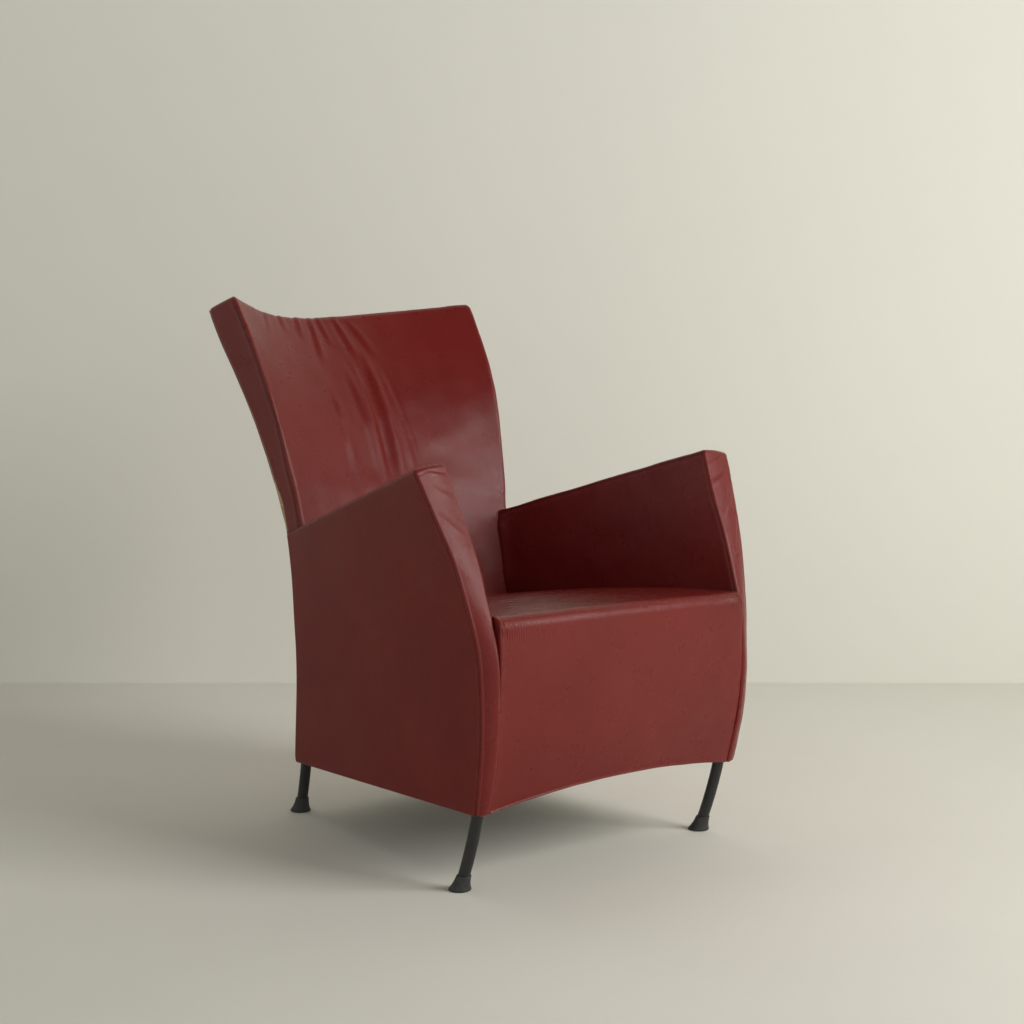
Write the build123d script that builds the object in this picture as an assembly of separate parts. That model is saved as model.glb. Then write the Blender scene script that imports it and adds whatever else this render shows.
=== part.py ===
from build123d import *
import math
import os

os.makedirs("parts", exist_ok=True)

# An upholstered armchair on four tube legs, in millimetres. X runs across the chair, its front
# faces -Y, Z is up, and the origin is on the floor below the middle of the whole chair.

# Where the chair stands: insets from the low outer edges, and reach behind the back
FRONT_FOOT_Y = -363.0
FRONT_FOOT_INSET = 20.0
REAR_FOOT_INSET = 17.0
REAR_FOOT_REACH = 8.4

# Leather, foam, board and gaps
LEATHER = 1.6
CLEARANCE = 0.3
OVERRUN = 60.0
CRUMB = 20.0

# Arms: levels at the front edge and at the rear edge, and how far they flare
ARM_BOTTOM_FRONT = 140.0
ARM_TOP_FRONT = 698.0
ARM_OVERHANG = 93.5
ARM_SWEEP = 106.0
ARM_HALF_WIDTH_LOW = 299.0
ARM_FLARE_OUT = 59.5
ARM_REAR_FLARE = 10.5
ARM_THICKNESS = 23.0
ARM_REAR_THICKNESS = 21.5
ARM_INNER_LEAN_share = 0.005
ARM_FLARE_IN = 27.0
ARM_TOP_LIFT = 8.0
ARM_INNER_PAD = 4.5
ARM_CORE = 14.0
ARM_FRONT_PAD = 10.0
ARM_AT_BACK_LEVEL_shares = (0, 0.5, 1, 2, 3, 4)
ARM_LEVEL_shares = (0, 0.22, 0.46, 0.68, 0.848, 1)
ARM_SWEEP_shares = (0.222, 0.02, 0.045, 0.3, 0.64, 1)
ARM_FLARE_OUT_shares = (0, 0.11, 0.17, 0.44, 0.727, 1)
ARM_FLARE_IN_shares = (0, 0, 0, 0.21, 0.52, 1)
ARM_REAR_FLARE_shares = (0, 0.11, 0.21, 0.42, 0.65, 1)
ARM_LIFT_shares = (0, 0, 0, 0, 0.37, 1)

# Back: its front edge and rear edge at each level, and how deeply it is hollowed
BACK_HEIGHT = 984.0
BACK_BOTTOM = 100.0
BACK_FRONT_AT_FOOT = 470.0
BACK_RECLINE = 214.0
BACK_HALF_LOW = 236.0
BACK_FLARE = 48.5
BACK_EDGE = 80.0
BACK_TOP_DROP = 27.0
BACK_SPLAY = 12.5
BACK_HOLLOW = 98.0
BACK_REAR_CROWN = 70.0
BACK_TOP_DIP = 1.5
BACK_LEVEL_shares = (0, 0.23, 0.34, 0.43, 0.514, 0.636, 0.773, 0.9, 1, 1.045)
BACK_RECLINE_shares = (0, 0, 0.075, 0.14, 0.206, 0.308, 0.477, 0.739, 1, 1.13)
BACK_FLARE_shares = (0, 0.06, 0.12, 0.15, 0.236, 0.455, 0.7, 0.9, 1, 1.05)
BACK_EDGE_shares = (1.22, 1.07, 0.92, 0.79, 0.717, 0.805, 0.97, 1.05, 1, 0.95)
BACK_DROP_shares = (0, 0, 0, 0.18, 0.41, 0.63, 0.85, 1, 1, 0.96)
BACK_SPLAY_shares = (0, 0, 0, 0, 0, 0.05, 0.2, 0.6, 1, 1.1)
BACK_HOLLOW_shares = (0.02, 0.02, 0.03, 0.12, 0.236, 0.43, 0.67, 0.87, 1, 1.03)
BACK_CROWN_shares = (0.02, 0.02, 0.057, 0.114, 0.164, 0.4, 0.64, 0.85, 1, 1.04)
BACK_FOAM = 14.0
POST_WIDTH = 45.0
TOP_RAIL_HEIGHT = 50.0
WAIST_RAIL_BOTTOM = 500.0
WAIST_RAIL_HEIGHT = 45.0
REAR_RAIL_THICKNESS = 25.0
REAR_RAIL_SETBACK = 12.0
REAR_RAIL_HEIGHT = 60.0
LOWER_RAIL_HEIGHT = 45.0
BACK_STRAP_WIDTH_share = 0.14
BACK_STRAP_START_share = 0.154
BACK_STRAP_PITCH_share = 0.218
BACK_STRAP_COUNT = 4

# Seat: side profile through its front fall and crowned top
SEAT_OVERHANG = 104.0
SEAT_FRONT_LEVEL = 459.0
SEAT_REAR_LEVEL = 385.0
SEAT_TUCK = 50.0
SEAT_TOP_BULGE = 14.0
SEAT_EDGE_RADIUS = 14.0
SEAT_CROWN = 6.0
FALL_DROP = 6.0
FALL_ARCH = 27.5
FALL_SETBACK = 28.0
FALL_WAIST_DROP = 64.0
FALL_WAIST_SETBACK = 8.0
FALL_BELLY_share = 0.476
FALL_BELLY_SETBACK = 11.0
FALL_PAD = 12.0
FRONT_BOARD = 18.0
SEAT_OVERLAP = 21.0

# Webbing plane below the seat foam, and the rails under it
SEAT_DEPTH_FRONT = 159.0
SEAT_DEPTH_REAR = 123.0
STRAP = 2.0
STRAP_WIDTH = 55.0
LONG_STRAP_INSET = 1.3
LONG_STRAP_COUNT = 5
CROSS_STRAP_FIRST = 60.0
CROSS_STRAP_REST = 95.0
CROSS_STRAP_COUNT = 4
STRAP_HOLD = 16.0
SIDE_RAIL_WIDTH = 22.0
SIDE_RAIL_HEIGHT = 50.0

# Corner blocks, dust cover
BLOCK_WIDTH = 58.0
BLOCK_DEPTH = 78.0
BLOCK_HEIGHT = 45.0
REAR_BLOCK_DEPTH = 45.0
REAR_BLOCK_INSET = 18.0
DUST_CLOTH = 1.0
DUST_FRONT_RISE = 24.0
DUST_REAR_RISE = 18.0

# Legs, feet and their plates
TUBE_RADIUS = 10.0
TUBE_WALL = 2.0
FRONT_LEG_LEAN = 51.8
REAR_LEG_LEAN = 24.0
FRONT_LEG_BOW = 4.0
REAR_LEG_BOW = 2.0
TUBE_END_LEVEL = 5.0
FOOT_HEIGHT = 27.0
FOOT_WALL = 2.5
FOOT_FLARE = 6.5
FOOT_LEVEL_shares = (0, 0.22, 0.6, 1)
FOOT_FLARE_shares = (1, 0.52, 0.12, 0)
PLATE = 4.0
PLATE_WIDTH = 57.0
PLATE_DEPTH = 56.0
FRONT_PLATE_RISE = 8.0
REAR_PLATE_RISE = 5.0
FRONT_PLATE_SHIFT = 17.5
REAR_PLATE_SHIFT = 15.0
FRONT_PLATE_INSET = 22.8
REAR_PLATE_INSET = 16.5
SCREW_RADIUS = 2.0
SCREW_LENGTH = 18.0
SCREW_HEAD_RADIUS = 4.0
SCREW_HEAD = 1.5
SCREW_MARGIN = 9.0

# Places worked out from the sizes above
ARM_FRONT_Y = FRONT_FOOT_Y - ARM_OVERHANG
ARM_REAR_HALF_LOW = BACK_HALF_LOW
ARM_INNER_FRONT = ARM_HALF_WIDTH_LOW - ARM_THICKNESS
SEAT_FRONT_Y = FRONT_FOOT_Y - SEAT_OVERHANG
BACK_FRONT_Y = FRONT_FOOT_Y + BACK_FRONT_AT_FOOT
SEAT_REAR_Y = BACK_FRONT_Y + SEAT_TUCK
SEAT_HALF_SPAN = ARM_HALF_WIDTH_LOW + SEAT_OVERLAP
WEB_FRONT_LEVEL = SEAT_FRONT_LEVEL - SEAT_DEPTH_FRONT
WEB_REAR_LEVEL = SEAT_REAR_LEVEL - SEAT_DEPTH_REAR
REAR_FACE_Y = BACK_FRONT_Y + BACK_EDGE * BACK_EDGE_shares[0]
ARM_INNER_REAR = ARM_REAR_HALF_LOW - ARM_REAR_THICKNESS
ARM_INNER_RISE = ARM_INNER_LEAN_share * BACK_BOTTOM
ARM_INNER_TAPER = (ARM_INNER_FRONT + ARM_INNER_RISE - ARM_INNER_REAR) / (REAR_FACE_Y - ARM_FRONT_Y)
FRONT_FOOT_X = ARM_HALF_WIDTH_LOW - FRONT_FOOT_INSET
REAR_FOOT_X = ARM_REAR_HALF_LOW - REAR_FOOT_INSET
REAR_FOOT_Y = REAR_FACE_Y + REAR_FOOT_REACH
FRONT_PLATE_LEVEL = ARM_BOTTOM_FRONT + FRONT_PLATE_RISE
REAR_PLATE_LEVEL = BACK_BOTTOM + REAR_PLATE_RISE
FRONT_PLATE_X = FRONT_FOOT_X - FRONT_PLATE_SHIFT
REAR_PLATE_X = REAR_FOOT_X - REAR_PLATE_SHIFT
FALL_BOTTOM = ARM_BOTTOM_FRONT - FALL_DROP
FALL_WAIST_LEVEL = SEAT_FRONT_LEVEL - FALL_WAIST_DROP
FALL_BELLY_LEVEL = FALL_BOTTOM + FALL_BELLY_share * (FALL_WAIST_LEVEL - FALL_BOTTOM)
FALL_DEPTH = LEATHER + FALL_PAD + FRONT_BOARD
FRONT_LEG = (FRONT_FOOT_X, FRONT_FOOT_Y, FRONT_PLATE_LEVEL, FRONT_LEG_LEAN, FRONT_LEG_BOW)
REAR_LEG = (REAR_FOOT_X, REAR_FOOT_Y, REAR_PLATE_LEVEL, REAR_LEG_LEAN, REAR_LEG_BOW)
STANDING = (Align.CENTER, Align.CENTER, Align.MIN)


def joined(*shapes):
    """One compound of every solid in the given shapes, without crumbs."""
    solids = [s for shape in shapes for s in shape.solids() if s.volume > CRUMB]
    return Compound(children=solids)


def mirrored(shape):
    return joined(mirror(shape, about=Plane.YZ))


def both_sides(shape):
    return joined(shape, mirror(shape, about=Plane.YZ))


def without(shape, *cutters):
    """The shape less each cutter in turn."""
    for cutter in cutters:
        shape = shape - cutter
    return joined(shape)


def below(shape, *planes):
    """The side of the shape behind every given plane."""
    for plane in planes:
        shape = split(shape, bisect_by=plane, keep=Keep.BOTTOM)
    return shape


def above(shape, *planes):
    """The side of the shape before every given plane."""
    for plane in planes:
        shape = split(shape, bisect_by=plane, keep=Keep.TOP)
    return shape


def box_between(x_range, y_range, z_range):
    """An upright box given by its low and high place along each axis."""
    middle = [(low + high) / 2 for low, high in (x_range, y_range, z_range)]
    size = [high - low for low, high in (x_range, y_range, z_range)]
    return Pos(*middle) * Box(*size)


def polygon(corners):
    return Wire.make_polygon([Vector(*c) for c in corners], close=True)


def ruled(wires):
    return Solid.make_loft(wires, ruled=True)


# Back: sections with a hollow front arc and a crowned rear arc, tilted more towards the top


def back_edge(n):
    """Front and rear corner of one level on the +X side, as (x, y, z) each."""
    z_front = BACK_BOTTOM + BACK_LEVEL_shares[n] * (BACK_HEIGHT - BACK_BOTTOM)
    x_front = BACK_HALF_LOW + BACK_FLARE * BACK_FLARE_shares[n]
    y_front = BACK_FRONT_Y + BACK_RECLINE * BACK_RECLINE_shares[n]
    y_rear = y_front + BACK_EDGE * BACK_EDGE_shares[n]
    x_rear = x_front + BACK_SPLAY * BACK_SPLAY_shares[n]
    z_rear = z_front - BACK_TOP_DROP * BACK_DROP_shares[n]
    return (x_front, y_front, z_front), (x_rear, y_rear, z_rear)


def arc_height(half, depth, x):
    """How far an arc, depth high over twice half wide, stands above its ends at x."""
    radius = (half**2 + depth**2) / (2 * depth)
    return depth - radius + math.sqrt(radius**2 - x**2)


def back_point(n, face, inset, x_side, middle=False):
    """A point of one level, inset from the front or rear face, at x_side inside its corner."""
    front, rear = back_edge(n)
    slope = (rear[2] - front[2]) / (rear[1] - front[1])
    front_rise, rear_rise = BACK_HOLLOW * BACK_HOLLOW_shares[n], BACK_REAR_CROWN * BACK_CROWN_shares[n]
    front_x, rear_x = (0, 0) if middle else (front[0] - x_side, rear[0] - x_side)
    front_y = front[1] + arc_height(front[0], front_rise, front_x)
    rear_y = rear[1] + arc_height(rear[0], rear_rise, rear_x)
    share = inset / (rear_y - front_y)
    share = share if face == "front" else 1 - share
    x, y = front_x + (rear_x - front_x) * share, front_y + (rear_y - front_y) * share
    return (x, y, front[2] + (y - front[1]) * slope)


def flipped(point):
    return (-point[0], point[1], point[2])


def back_layer(near, far, side=0.0):
    """A layer of the back between two (face, inset) pairs, its sides moved in by side."""
    wires = []
    for n in range(len(BACK_LEVEL_shares)):
        near_end, near_middle = back_point(n, *near, side), back_point(n, *near, side, True)
        far_end, far_middle = back_point(n, *far, side), back_point(n, *far, side, True)
        edges = [
            ThreePointArc(flipped(near_end), near_middle, near_end),
            Line(near_end, far_end),
            ThreePointArc(far_end, far_middle, flipped(far_end)),
            Line(flipped(far_end), flipped(near_end)),
        ]
        wires.append(Wire(edges))
    return ruled(wires)


def back_side_layer(side_outer, side_inner, near_inset, far_inset):
    """A layer along the back's right side, between insets from its front and rear faces."""
    sides = (side_outer, side_inner)
    wires = []
    for n in range(len(BACK_LEVEL_shares)):
        a, b = [back_point(n, "rear", far_inset, side) for side in sides]
        d, c = [back_point(n, "front", near_inset, side) for side in sides]
        wires.append(polygon([a, b, c, d]))
    return ruled(wires)


def post_layer(side_outer, side_inner, near_inset, far_inset):
    """A post behind the back's foam, its front face curved with the foam."""
    side_middle = (side_outer + side_inner) / 2
    wires = []
    for n in range(len(BACK_LEVEL_shares)):
        front = [
            back_point(n, "front", near_inset, side) for side in (side_outer, side_middle, side_inner)
        ]
        a, b = [back_point(n, "rear", far_inset, side) for side in (side_inner, side_outer)]
        wires.append(Wire([ThreePointArc(*front), Line(front[2], a), Line(a, b), Line(b, front[0])]))
    return ruled(wires)


def above_back(lower=0.0):
    """The space over the back's top edge, which dips in a shallow arc between its corners."""
    front_corner, rear_corner = back_edge(BACK_LEVEL_shares.index(1))
    run, drop = rear_corner[1] - front_corner[1], front_corner[2] - rear_corner[2]
    tilt = math.atan2(drop, run)
    plane = Plane(
        origin=(0, front_corner[1], front_corner[2] - lower),
        x_dir=(1, 0, 0),
        z_dir=(0, -math.cos(tilt), math.sin(tilt)),
    )
    reach = front_corner[0] + OVERRUN
    end_rise = BACK_TOP_DIP * ((reach / front_corner[0]) ** 2 - 1)
    local = [(-reach, end_rise), (0, -BACK_TOP_DIP), (reach, end_rise), (reach, BACK_RECLINE)]
    left, dip, right, over_right = [plane.from_local_coords(p) for p in local]
    over_left = plane.from_local_coords((-reach, BACK_RECLINE))
    edges = [
        ThreePointArc(left, dip, right),
        Line(right, over_right),
        Line(over_right, over_left),
        Line(over_left, left),
    ]
    return extrude(Face(Wire(edges)), amount=BACK_RECLINE, both=True)


def arm_rear(n):
    """Where one level of the arm meets the back's rear edge, as (y, z)."""
    low = int(ARM_AT_BACK_LEVEL_shares[n])
    part = ARM_AT_BACK_LEVEL_shares[n] - low
    _, y_low, z_low = back_edge(low)[1]
    _, y_high, z_high = back_edge(low + 1)[1]
    return y_low + part * (y_high - y_low), z_low + part * (z_high - z_low)


# Arm, right side (+X): four-sided sections; its inner face is flat up to above the seat


def inner_x(y, z):
    along = ARM_INNER_TAPER * (y - ARM_FRONT_Y)
    return ARM_INNER_FRONT - along + ARM_INNER_LEAN_share * z


def inner_plane(shift):
    """The flat inner face of the right arm, moved outwards by shift; it faces outwards."""
    normal = (1, ARM_INNER_TAPER, -ARM_INNER_LEAN_share)
    return Plane(origin=(inner_x(ARM_FRONT_Y, 0) + shift, ARM_FRONT_Y, 0), z_dir=normal)


def inner_plane_left(shift):
    """The same face of the left arm; it faces outwards too."""
    normal = (-1, ARM_INNER_TAPER, -ARM_INNER_LEAN_share)
    return Plane(origin=(-inner_x(ARM_FRONT_Y, 0) - shift, ARM_FRONT_Y, 0), z_dir=normal)


def arm_corners(n, outside, inside, near, far):
    """Corners of one level between two (line, shift) sides and two insets from front and rear."""
    level = ARM_LEVEL_shares[n]
    z_front = ARM_BOTTOM_FRONT + level * (ARM_TOP_FRONT - ARM_BOTTOM_FRONT)
    y_front = ARM_FRONT_Y + ARM_SWEEP * ARM_SWEEP_shares[n]
    y_rear, z_rear = arm_rear(n)
    y_rear -= LEATHER + CLEARANCE
    x_out = ARM_HALF_WIDTH_LOW + ARM_FLARE_OUT * ARM_FLARE_OUT_shares[n]
    x_in = inner_x(y_front, z_front) + ARM_FLARE_IN * ARM_FLARE_IN_shares[n]
    x_rear_out = ARM_REAR_HALF_LOW + ARM_REAR_FLARE * ARM_REAR_FLARE_shares[n]
    lines = {"outer": (x_out, x_rear_out), "inner": (x_in, inner_x(y_rear, z_rear))}
    tilt = ARM_TOP_LIFT * ARM_LIFT_shares[n] / (x_out - x_in)
    run = y_rear - y_front

    def corner(side, share):
        at_front, at_rear = lines[side[0]]
        x_middle = (x_out + x_in + share * (x_rear_out + lines["inner"][1] - x_out - x_in)) / 2
        x = at_front + side[1] + share * (at_rear - at_front)
        z = z_front + share * (z_rear - z_front) + tilt * (x_middle - x)
        return (x, y_front + share * run, z)

    near, far = near / run, 1 - far / run
    return [corner(outside, near), corner(outside, far), corner(inside, far), corner(inside, near)]


def arm_layer(outside, inside, front=0.0, rear=0.0):
    """A layer of the right arm between two sides, inset from its front and rear ends."""
    levels = range(len(ARM_LEVEL_shares))
    return ruled([polygon(arm_corners(n, outside, inside, front, rear)) for n in levels])


def arm_front_layer(outside, inside, near, far):
    """A layer of the right arm behind its front edge, between two insets."""
    wires = []
    for n in range(len(ARM_LEVEL_shares)):
        a, _, _, d = arm_corners(n, outside, inside, near, 0)
        b, _, _, c = arm_corners(n, outside, inside, far, 0)
        wires.append(polygon([a, b, c, d]))
    return ruled(wires)


def arm_top(lower):
    """The plane of the arm's top, moved down."""
    last = len(ARM_LEVEL_shares) - 1
    corners = arm_corners(last, ("outer", 0), ("inner", 0), 0, 0)
    a, b, c = [Vector(*corner) for corner in corners[:3]]
    normal = (b - a).cross(c - a).normalized()
    if normal.Z < 0:
        normal = normal * -1
    return Plane(origin=a - Vector(0, 0, lower), z_dir=normal)


# Seat: three side profiles across the chair, the middle one crowned and arched


def web_plane(lower=0.0):
    """The sloped plane under the seat foam, moved down."""
    slope = (WEB_REAR_LEVEL - WEB_FRONT_LEVEL) / (SEAT_REAR_Y - SEAT_FRONT_Y)
    return Plane(origin=(0, SEAT_FRONT_Y, WEB_FRONT_LEVEL - lower), z_dir=(0, -slope, 1))


def fall_points(x, crown, arch, inset):
    """Bottom, belly and waist of the front fall at x, moved back by an inset."""
    y_face = SEAT_FRONT_Y - crown + inset
    bottom = (x, y_face + FALL_SETBACK, FALL_BOTTOM + arch)
    belly = (x, y_face + FALL_BELLY_SETBACK, FALL_BELLY_LEVEL)
    waist = (x, y_face + FALL_WAIST_SETBACK, FALL_WAIST_LEVEL)
    return bottom, belly, waist


def top_points(x, crown, skin):
    """Low, middle and high point of the rounded edge, then middle and rear of the seat's top."""
    y_face, top = SEAT_FRONT_Y - crown + skin, SEAT_FRONT_LEVEL + crown - skin
    radius = SEAT_EDGE_RADIUS - skin
    nook = radius * (1 - math.sqrt(0.5))
    rear = (x, SEAT_REAR_Y, SEAT_REAR_LEVEL + crown - skin)
    high = (x, y_face + radius, top)
    middle = (x, (high[1] + rear[1]) / 2, (top + rear[2]) / 2 + SEAT_TOP_BULGE)
    return (x, y_face, top - radius), (x, y_face + nook, top - nook), high, middle, rear


def lofted_across(edges_at):
    """Loft a side profile from one side of the chair to the other through its middle."""
    low_crown = -SEAT_CROWN / 2
    stations = [
        (-SEAT_HALF_SPAN, low_crown, 0.0),
        (0.0, SEAT_CROWN / 2, FALL_ARCH),
        (SEAT_HALF_SPAN, low_crown, 0.0),
    ]
    return Solid.make_loft([Wire(edges_at(*station)) for station in stations])


def cover_edges(x, crown, arch):
    """The leather's section: outer line from the fall's bottom to the rear, then back inside."""
    bottom, belly, waist = fall_points(x, crown, arch, 0.0)
    low, nook, high, middle, rear = top_points(x, crown, 0.0)
    bottom_in, belly_in, waist_in = fall_points(x, crown, arch, LEATHER)
    low_in, nook_in, high_in, middle_in, rear_in = top_points(x, crown, LEATHER)
    return [
        ThreePointArc(bottom, belly, waist),
        Line(waist, low),
        ThreePointArc(low, nook, high),
        ThreePointArc(high, middle, rear),
        Line(rear, rear_in),
        ThreePointArc(rear_in, middle_in, high_in),
        ThreePointArc(high_in, nook_in, low_in),
        Line(low_in, waist_in),
        ThreePointArc(waist_in, belly_in, bottom_in),
        Line(bottom_in, bottom),
    ]


def fall_layer_edges(near, far):
    """A layer of the front fall between two insets, from its bottom to its waist."""

    def edges_at(x, crown, arch):
        bottom, belly, waist = fall_points(x, crown, arch, near)
        bottom_far, belly_far, waist_far = fall_points(x, crown, arch, far)
        return [
            ThreePointArc(bottom, belly, waist),
            Line(waist, waist_far),
            ThreePointArc(waist_far, belly_far, bottom_far),
            Line(bottom_far, bottom),
        ]

    return edges_at


def foam_edges(x, crown, arch):
    """The seat foam down to the fall's bottom; the webbing plane cuts it off."""
    bottom, belly, waist = fall_points(x, crown, arch, LEATHER + FALL_PAD + CLEARANCE)
    ledge = fall_points(x, crown, arch, LEATHER + CLEARANCE)[2]
    ledge = (ledge[0], ledge[1], ledge[2] + CLEARANCE)
    waist_up = (waist[0], waist[1], ledge[2])
    low, nook, high, middle, rear = top_points(x, crown, LEATHER + CLEARANCE)
    rear_low = (x, rear[1], bottom[2])
    return [
        ThreePointArc(bottom, belly, waist),
        Line(waist, waist_up),
        Line(waist_up, ledge),
        Line(ledge, low),
        ThreePointArc(low, nook, high),
        ThreePointArc(high, middle, rear),
        Line(rear, rear_low),
        Line(rear_low, bottom),
    ]


# Legs: a bowed tube between a mounting plate and a flared foot


def leg_y(foot_y, top, lean, bow, z):
    """Centre of the tube at height z: an even lean plus a bow towards the front."""
    share = z / top
    return foot_y - lean * share - 4 * bow * share * (1 - share)


def leg_path(x, foot_y, top, lean, bow):
    heights = [TUBE_END_LEVEL, (TUBE_END_LEVEL + top) / 2, top]
    return ThreePointArc(*[(x, leg_y(foot_y, top, lean, bow, z), z) for z in heights])


def leg_rod(radius, leg):
    path = leg_path(*leg)
    return sweep((Plane(origin=path @ 0, z_dir=path % 0) * Circle(radius)).faces()[0], path=path)


def leg_tube(leg):
    top_plane = Plane(origin=(0, 0, leg[2]))
    wall = leg_rod(TUBE_RADIUS, leg) - leg_rod(TUBE_RADIUS - TUBE_WALL, leg)
    return joined(below(wall, top_plane))


def leg_foot(leg):
    """A rubber bell that flares to a flat base, bored for the tube's end."""
    wires = []
    for level, flare in zip(FOOT_LEVEL_shares, FOOT_FLARE_shares):
        z = level * FOOT_HEIGHT
        radius = TUBE_RADIUS + FOOT_WALL + flare * FOOT_FLARE
        centre = Plane(origin=(leg[0], leg_y(*leg[1:], z), z))
        wires.append(Wire.make_circle(radius, centre))
    return joined(Solid.make_loft(wires) - leg_rod(TUBE_RADIUS, leg))


def leg_plate(x, y, level, lower=0.0):
    size = (PLATE_WIDTH, PLATE_DEPTH, PLATE + lower)
    return Pos(x, y, level - lower) * Box(*size, align=STANDING)


def plate_screws(x, y, level, corners):
    """Screws up through a plate, at the corners that the tube leaves free."""
    reach_x, reach_y = PLATE_WIDTH / 2 - SCREW_MARGIN, PLATE_DEPTH / 2 - SCREW_MARGIN
    screws = []
    for sign_x, sign_y in corners:
        foot = Pos(x + sign_x * reach_x, y + sign_y * reach_y, level)
        shank = foot * Cylinder(SCREW_RADIUS, SCREW_LENGTH, align=STANDING)
        head = foot * Cylinder(SCREW_HEAD_RADIUS, SCREW_HEAD, align=STANDING)
        screws.append((shank + head).solids()[0])
    return screws


parts = {}
web = web_plane()
WHOLE_X, WHOLE_Y = (-BACK_HEIGHT, BACK_HEIGHT), (-BACK_HEIGHT, BACK_HEIGHT)
INSIDE_SKIN, SIDE_SKIN = LEATHER + CLEARANCE, LEATHER + CLEARANCE

# Leg plates and their screws, with the pockets that they need
front_plate_at = (FRONT_PLATE_X, FRONT_FOOT_Y - FRONT_LEG_LEAN + FRONT_PLATE_INSET, FRONT_PLATE_LEVEL)
rear_plate_at = (REAR_PLATE_X, REAR_FOOT_Y - REAR_LEG_LEAN - REAR_PLATE_INSET, REAR_PLATE_LEVEL)
front_screws = plate_screws(*front_plate_at, [(-1, -1), (-1, 1), (1, 1)])
rear_screws = plate_screws(*rear_plate_at, [(-1, -1), (-1, 1), (1, -1)])
leg_pocket = leg_rod(TUBE_RADIUS + CLEARANCE, FRONT_LEG)
pockets = [leg_pocket, leg_plate(*front_plate_at, OVERRUN), leg_plate(*rear_plate_at, OVERRUN)]
fittings = pockets + front_screws + rear_screws
both_fittings = fittings + [mirror(fitting, about=Plane.YZ) for fitting in fittings]

# The space of each arm, which the pieces of the back keep clear of
outer_space = box_between((0, BACK_HEIGHT), WHOLE_Y, (-BACK_HEIGHT, BACK_HEIGHT))
arm_space = below(above(outer_space, inner_plane(-CLEARANCE)), arm_top(-CLEARANCE))
arms_space = [arm_space, mirror(arm_space, about=Plane.YZ)]

# The back, from the leather inside to the leather outside
over_leather, under_leather = above_back(), above_back(LEATHER + CLEARANCE)
REAR_SKIN, FOAM_BACK = ("rear", INSIDE_SKIN), ("front", INSIDE_SKIN + BACK_FOAM)
POST_FRONT = INSIDE_SKIN + BACK_FOAM + STRAP + 2 * CLEARANCE
parts["outside_back_leather"] = without(back_layer(("rear", LEATHER), ("rear", 0)), over_leather)
side_band = without(back_side_layer(0, LEATHER, 0, INSIDE_SKIN), over_leather, arm_space)
parts["back_side_band_right"] = side_band
parts["back_side_band_left"] = mirrored(side_band)
whole_back = back_layer(("front", 0), REAR_SKIN, SIDE_SKIN)
parts["back_top_band"] = without(whole_back & above_back(LEATHER), over_leather)
inside_skin = above(back_layer(("front", 0), ("front", LEATHER), SIDE_SKIN), web)
parts["inside_back_leather"] = without(inside_skin, under_leather, *arms_space)
foam = above(back_layer(("front", INSIDE_SKIN), FOAM_BACK, SIDE_SKIN), web)
parts["back_foam"] = without(foam, under_leather, *arms_space)
post_end = SIDE_SKIN + POST_WIDTH
post = post_layer(SIDE_SKIN, post_end, POST_FRONT, INSIDE_SKIN)
post = without(post, under_leather, arm_space)
between_posts = back_layer(("front", POST_FRONT), REAR_SKIN, post_end + CLEARANCE)
top_rail = between_posts & above_back(LEATHER + TOP_RAIL_HEIGHT)
parts["top_rail"] = without(top_rail, under_leather)
waist_levels = (WAIST_RAIL_BOTTOM, WAIST_RAIL_BOTTOM + WAIST_RAIL_HEIGHT)
parts["waist_rail"] = joined(between_posts & box_between(WHOLE_X, WHOLE_Y, waist_levels))
rail_front = BACK_FRONT_Y + POST_FRONT
rail_rear = rail_front + REAR_RAIL_THICKNESS
rail_half = BACK_HALF_LOW - post_end - CLEARANCE
rear_rail = box_between((-rail_half, rail_half), (rail_front, rail_rear), (0, BACK_HEIGHT))
rear_rail = below(above(rear_rail, web_plane(REAR_RAIL_HEIGHT)), web_plane(STRAP))
parts["rear_seat_rail"] = joined(rear_rail)
lower_rail_rear = REAR_FACE_Y - REAR_RAIL_SETBACK
lower_rail_front = lower_rail_rear - REAR_RAIL_THICKNESS
lower_levels = (BACK_BOTTOM, BACK_BOTTOM + LOWER_RAIL_HEIGHT)
lower_rail = box_between((-rail_half, rail_half), (lower_rail_front, lower_rail_rear), lower_levels)
parts["lower_rear_rail"] = without(lower_rail, *both_fittings)
strap_layers = [("front", FOAM_BACK[1] + skin) for skin in (CLEARANCE, CLEARANCE + STRAP)]
strap_sheet = back_layer(*strap_layers, SIDE_SKIN + POST_WIDTH / 2)
strap_room = BACK_HEIGHT - BACK_TOP_DIP - LEATHER - TOP_RAIL_HEIGHT - waist_levels[1]
back_straps = []
for n in range(BACK_STRAP_COUNT):
    low = waist_levels[1] + (BACK_STRAP_START_share + n * BACK_STRAP_PITCH_share) * strap_room
    strap_levels = (low, low + BACK_STRAP_WIDTH_share * strap_room)
    back_straps.append(strap_sheet & box_between(WHOLE_X, WHOLE_Y, strap_levels))
parts["back_webbing"] = joined(*back_straps)

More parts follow.
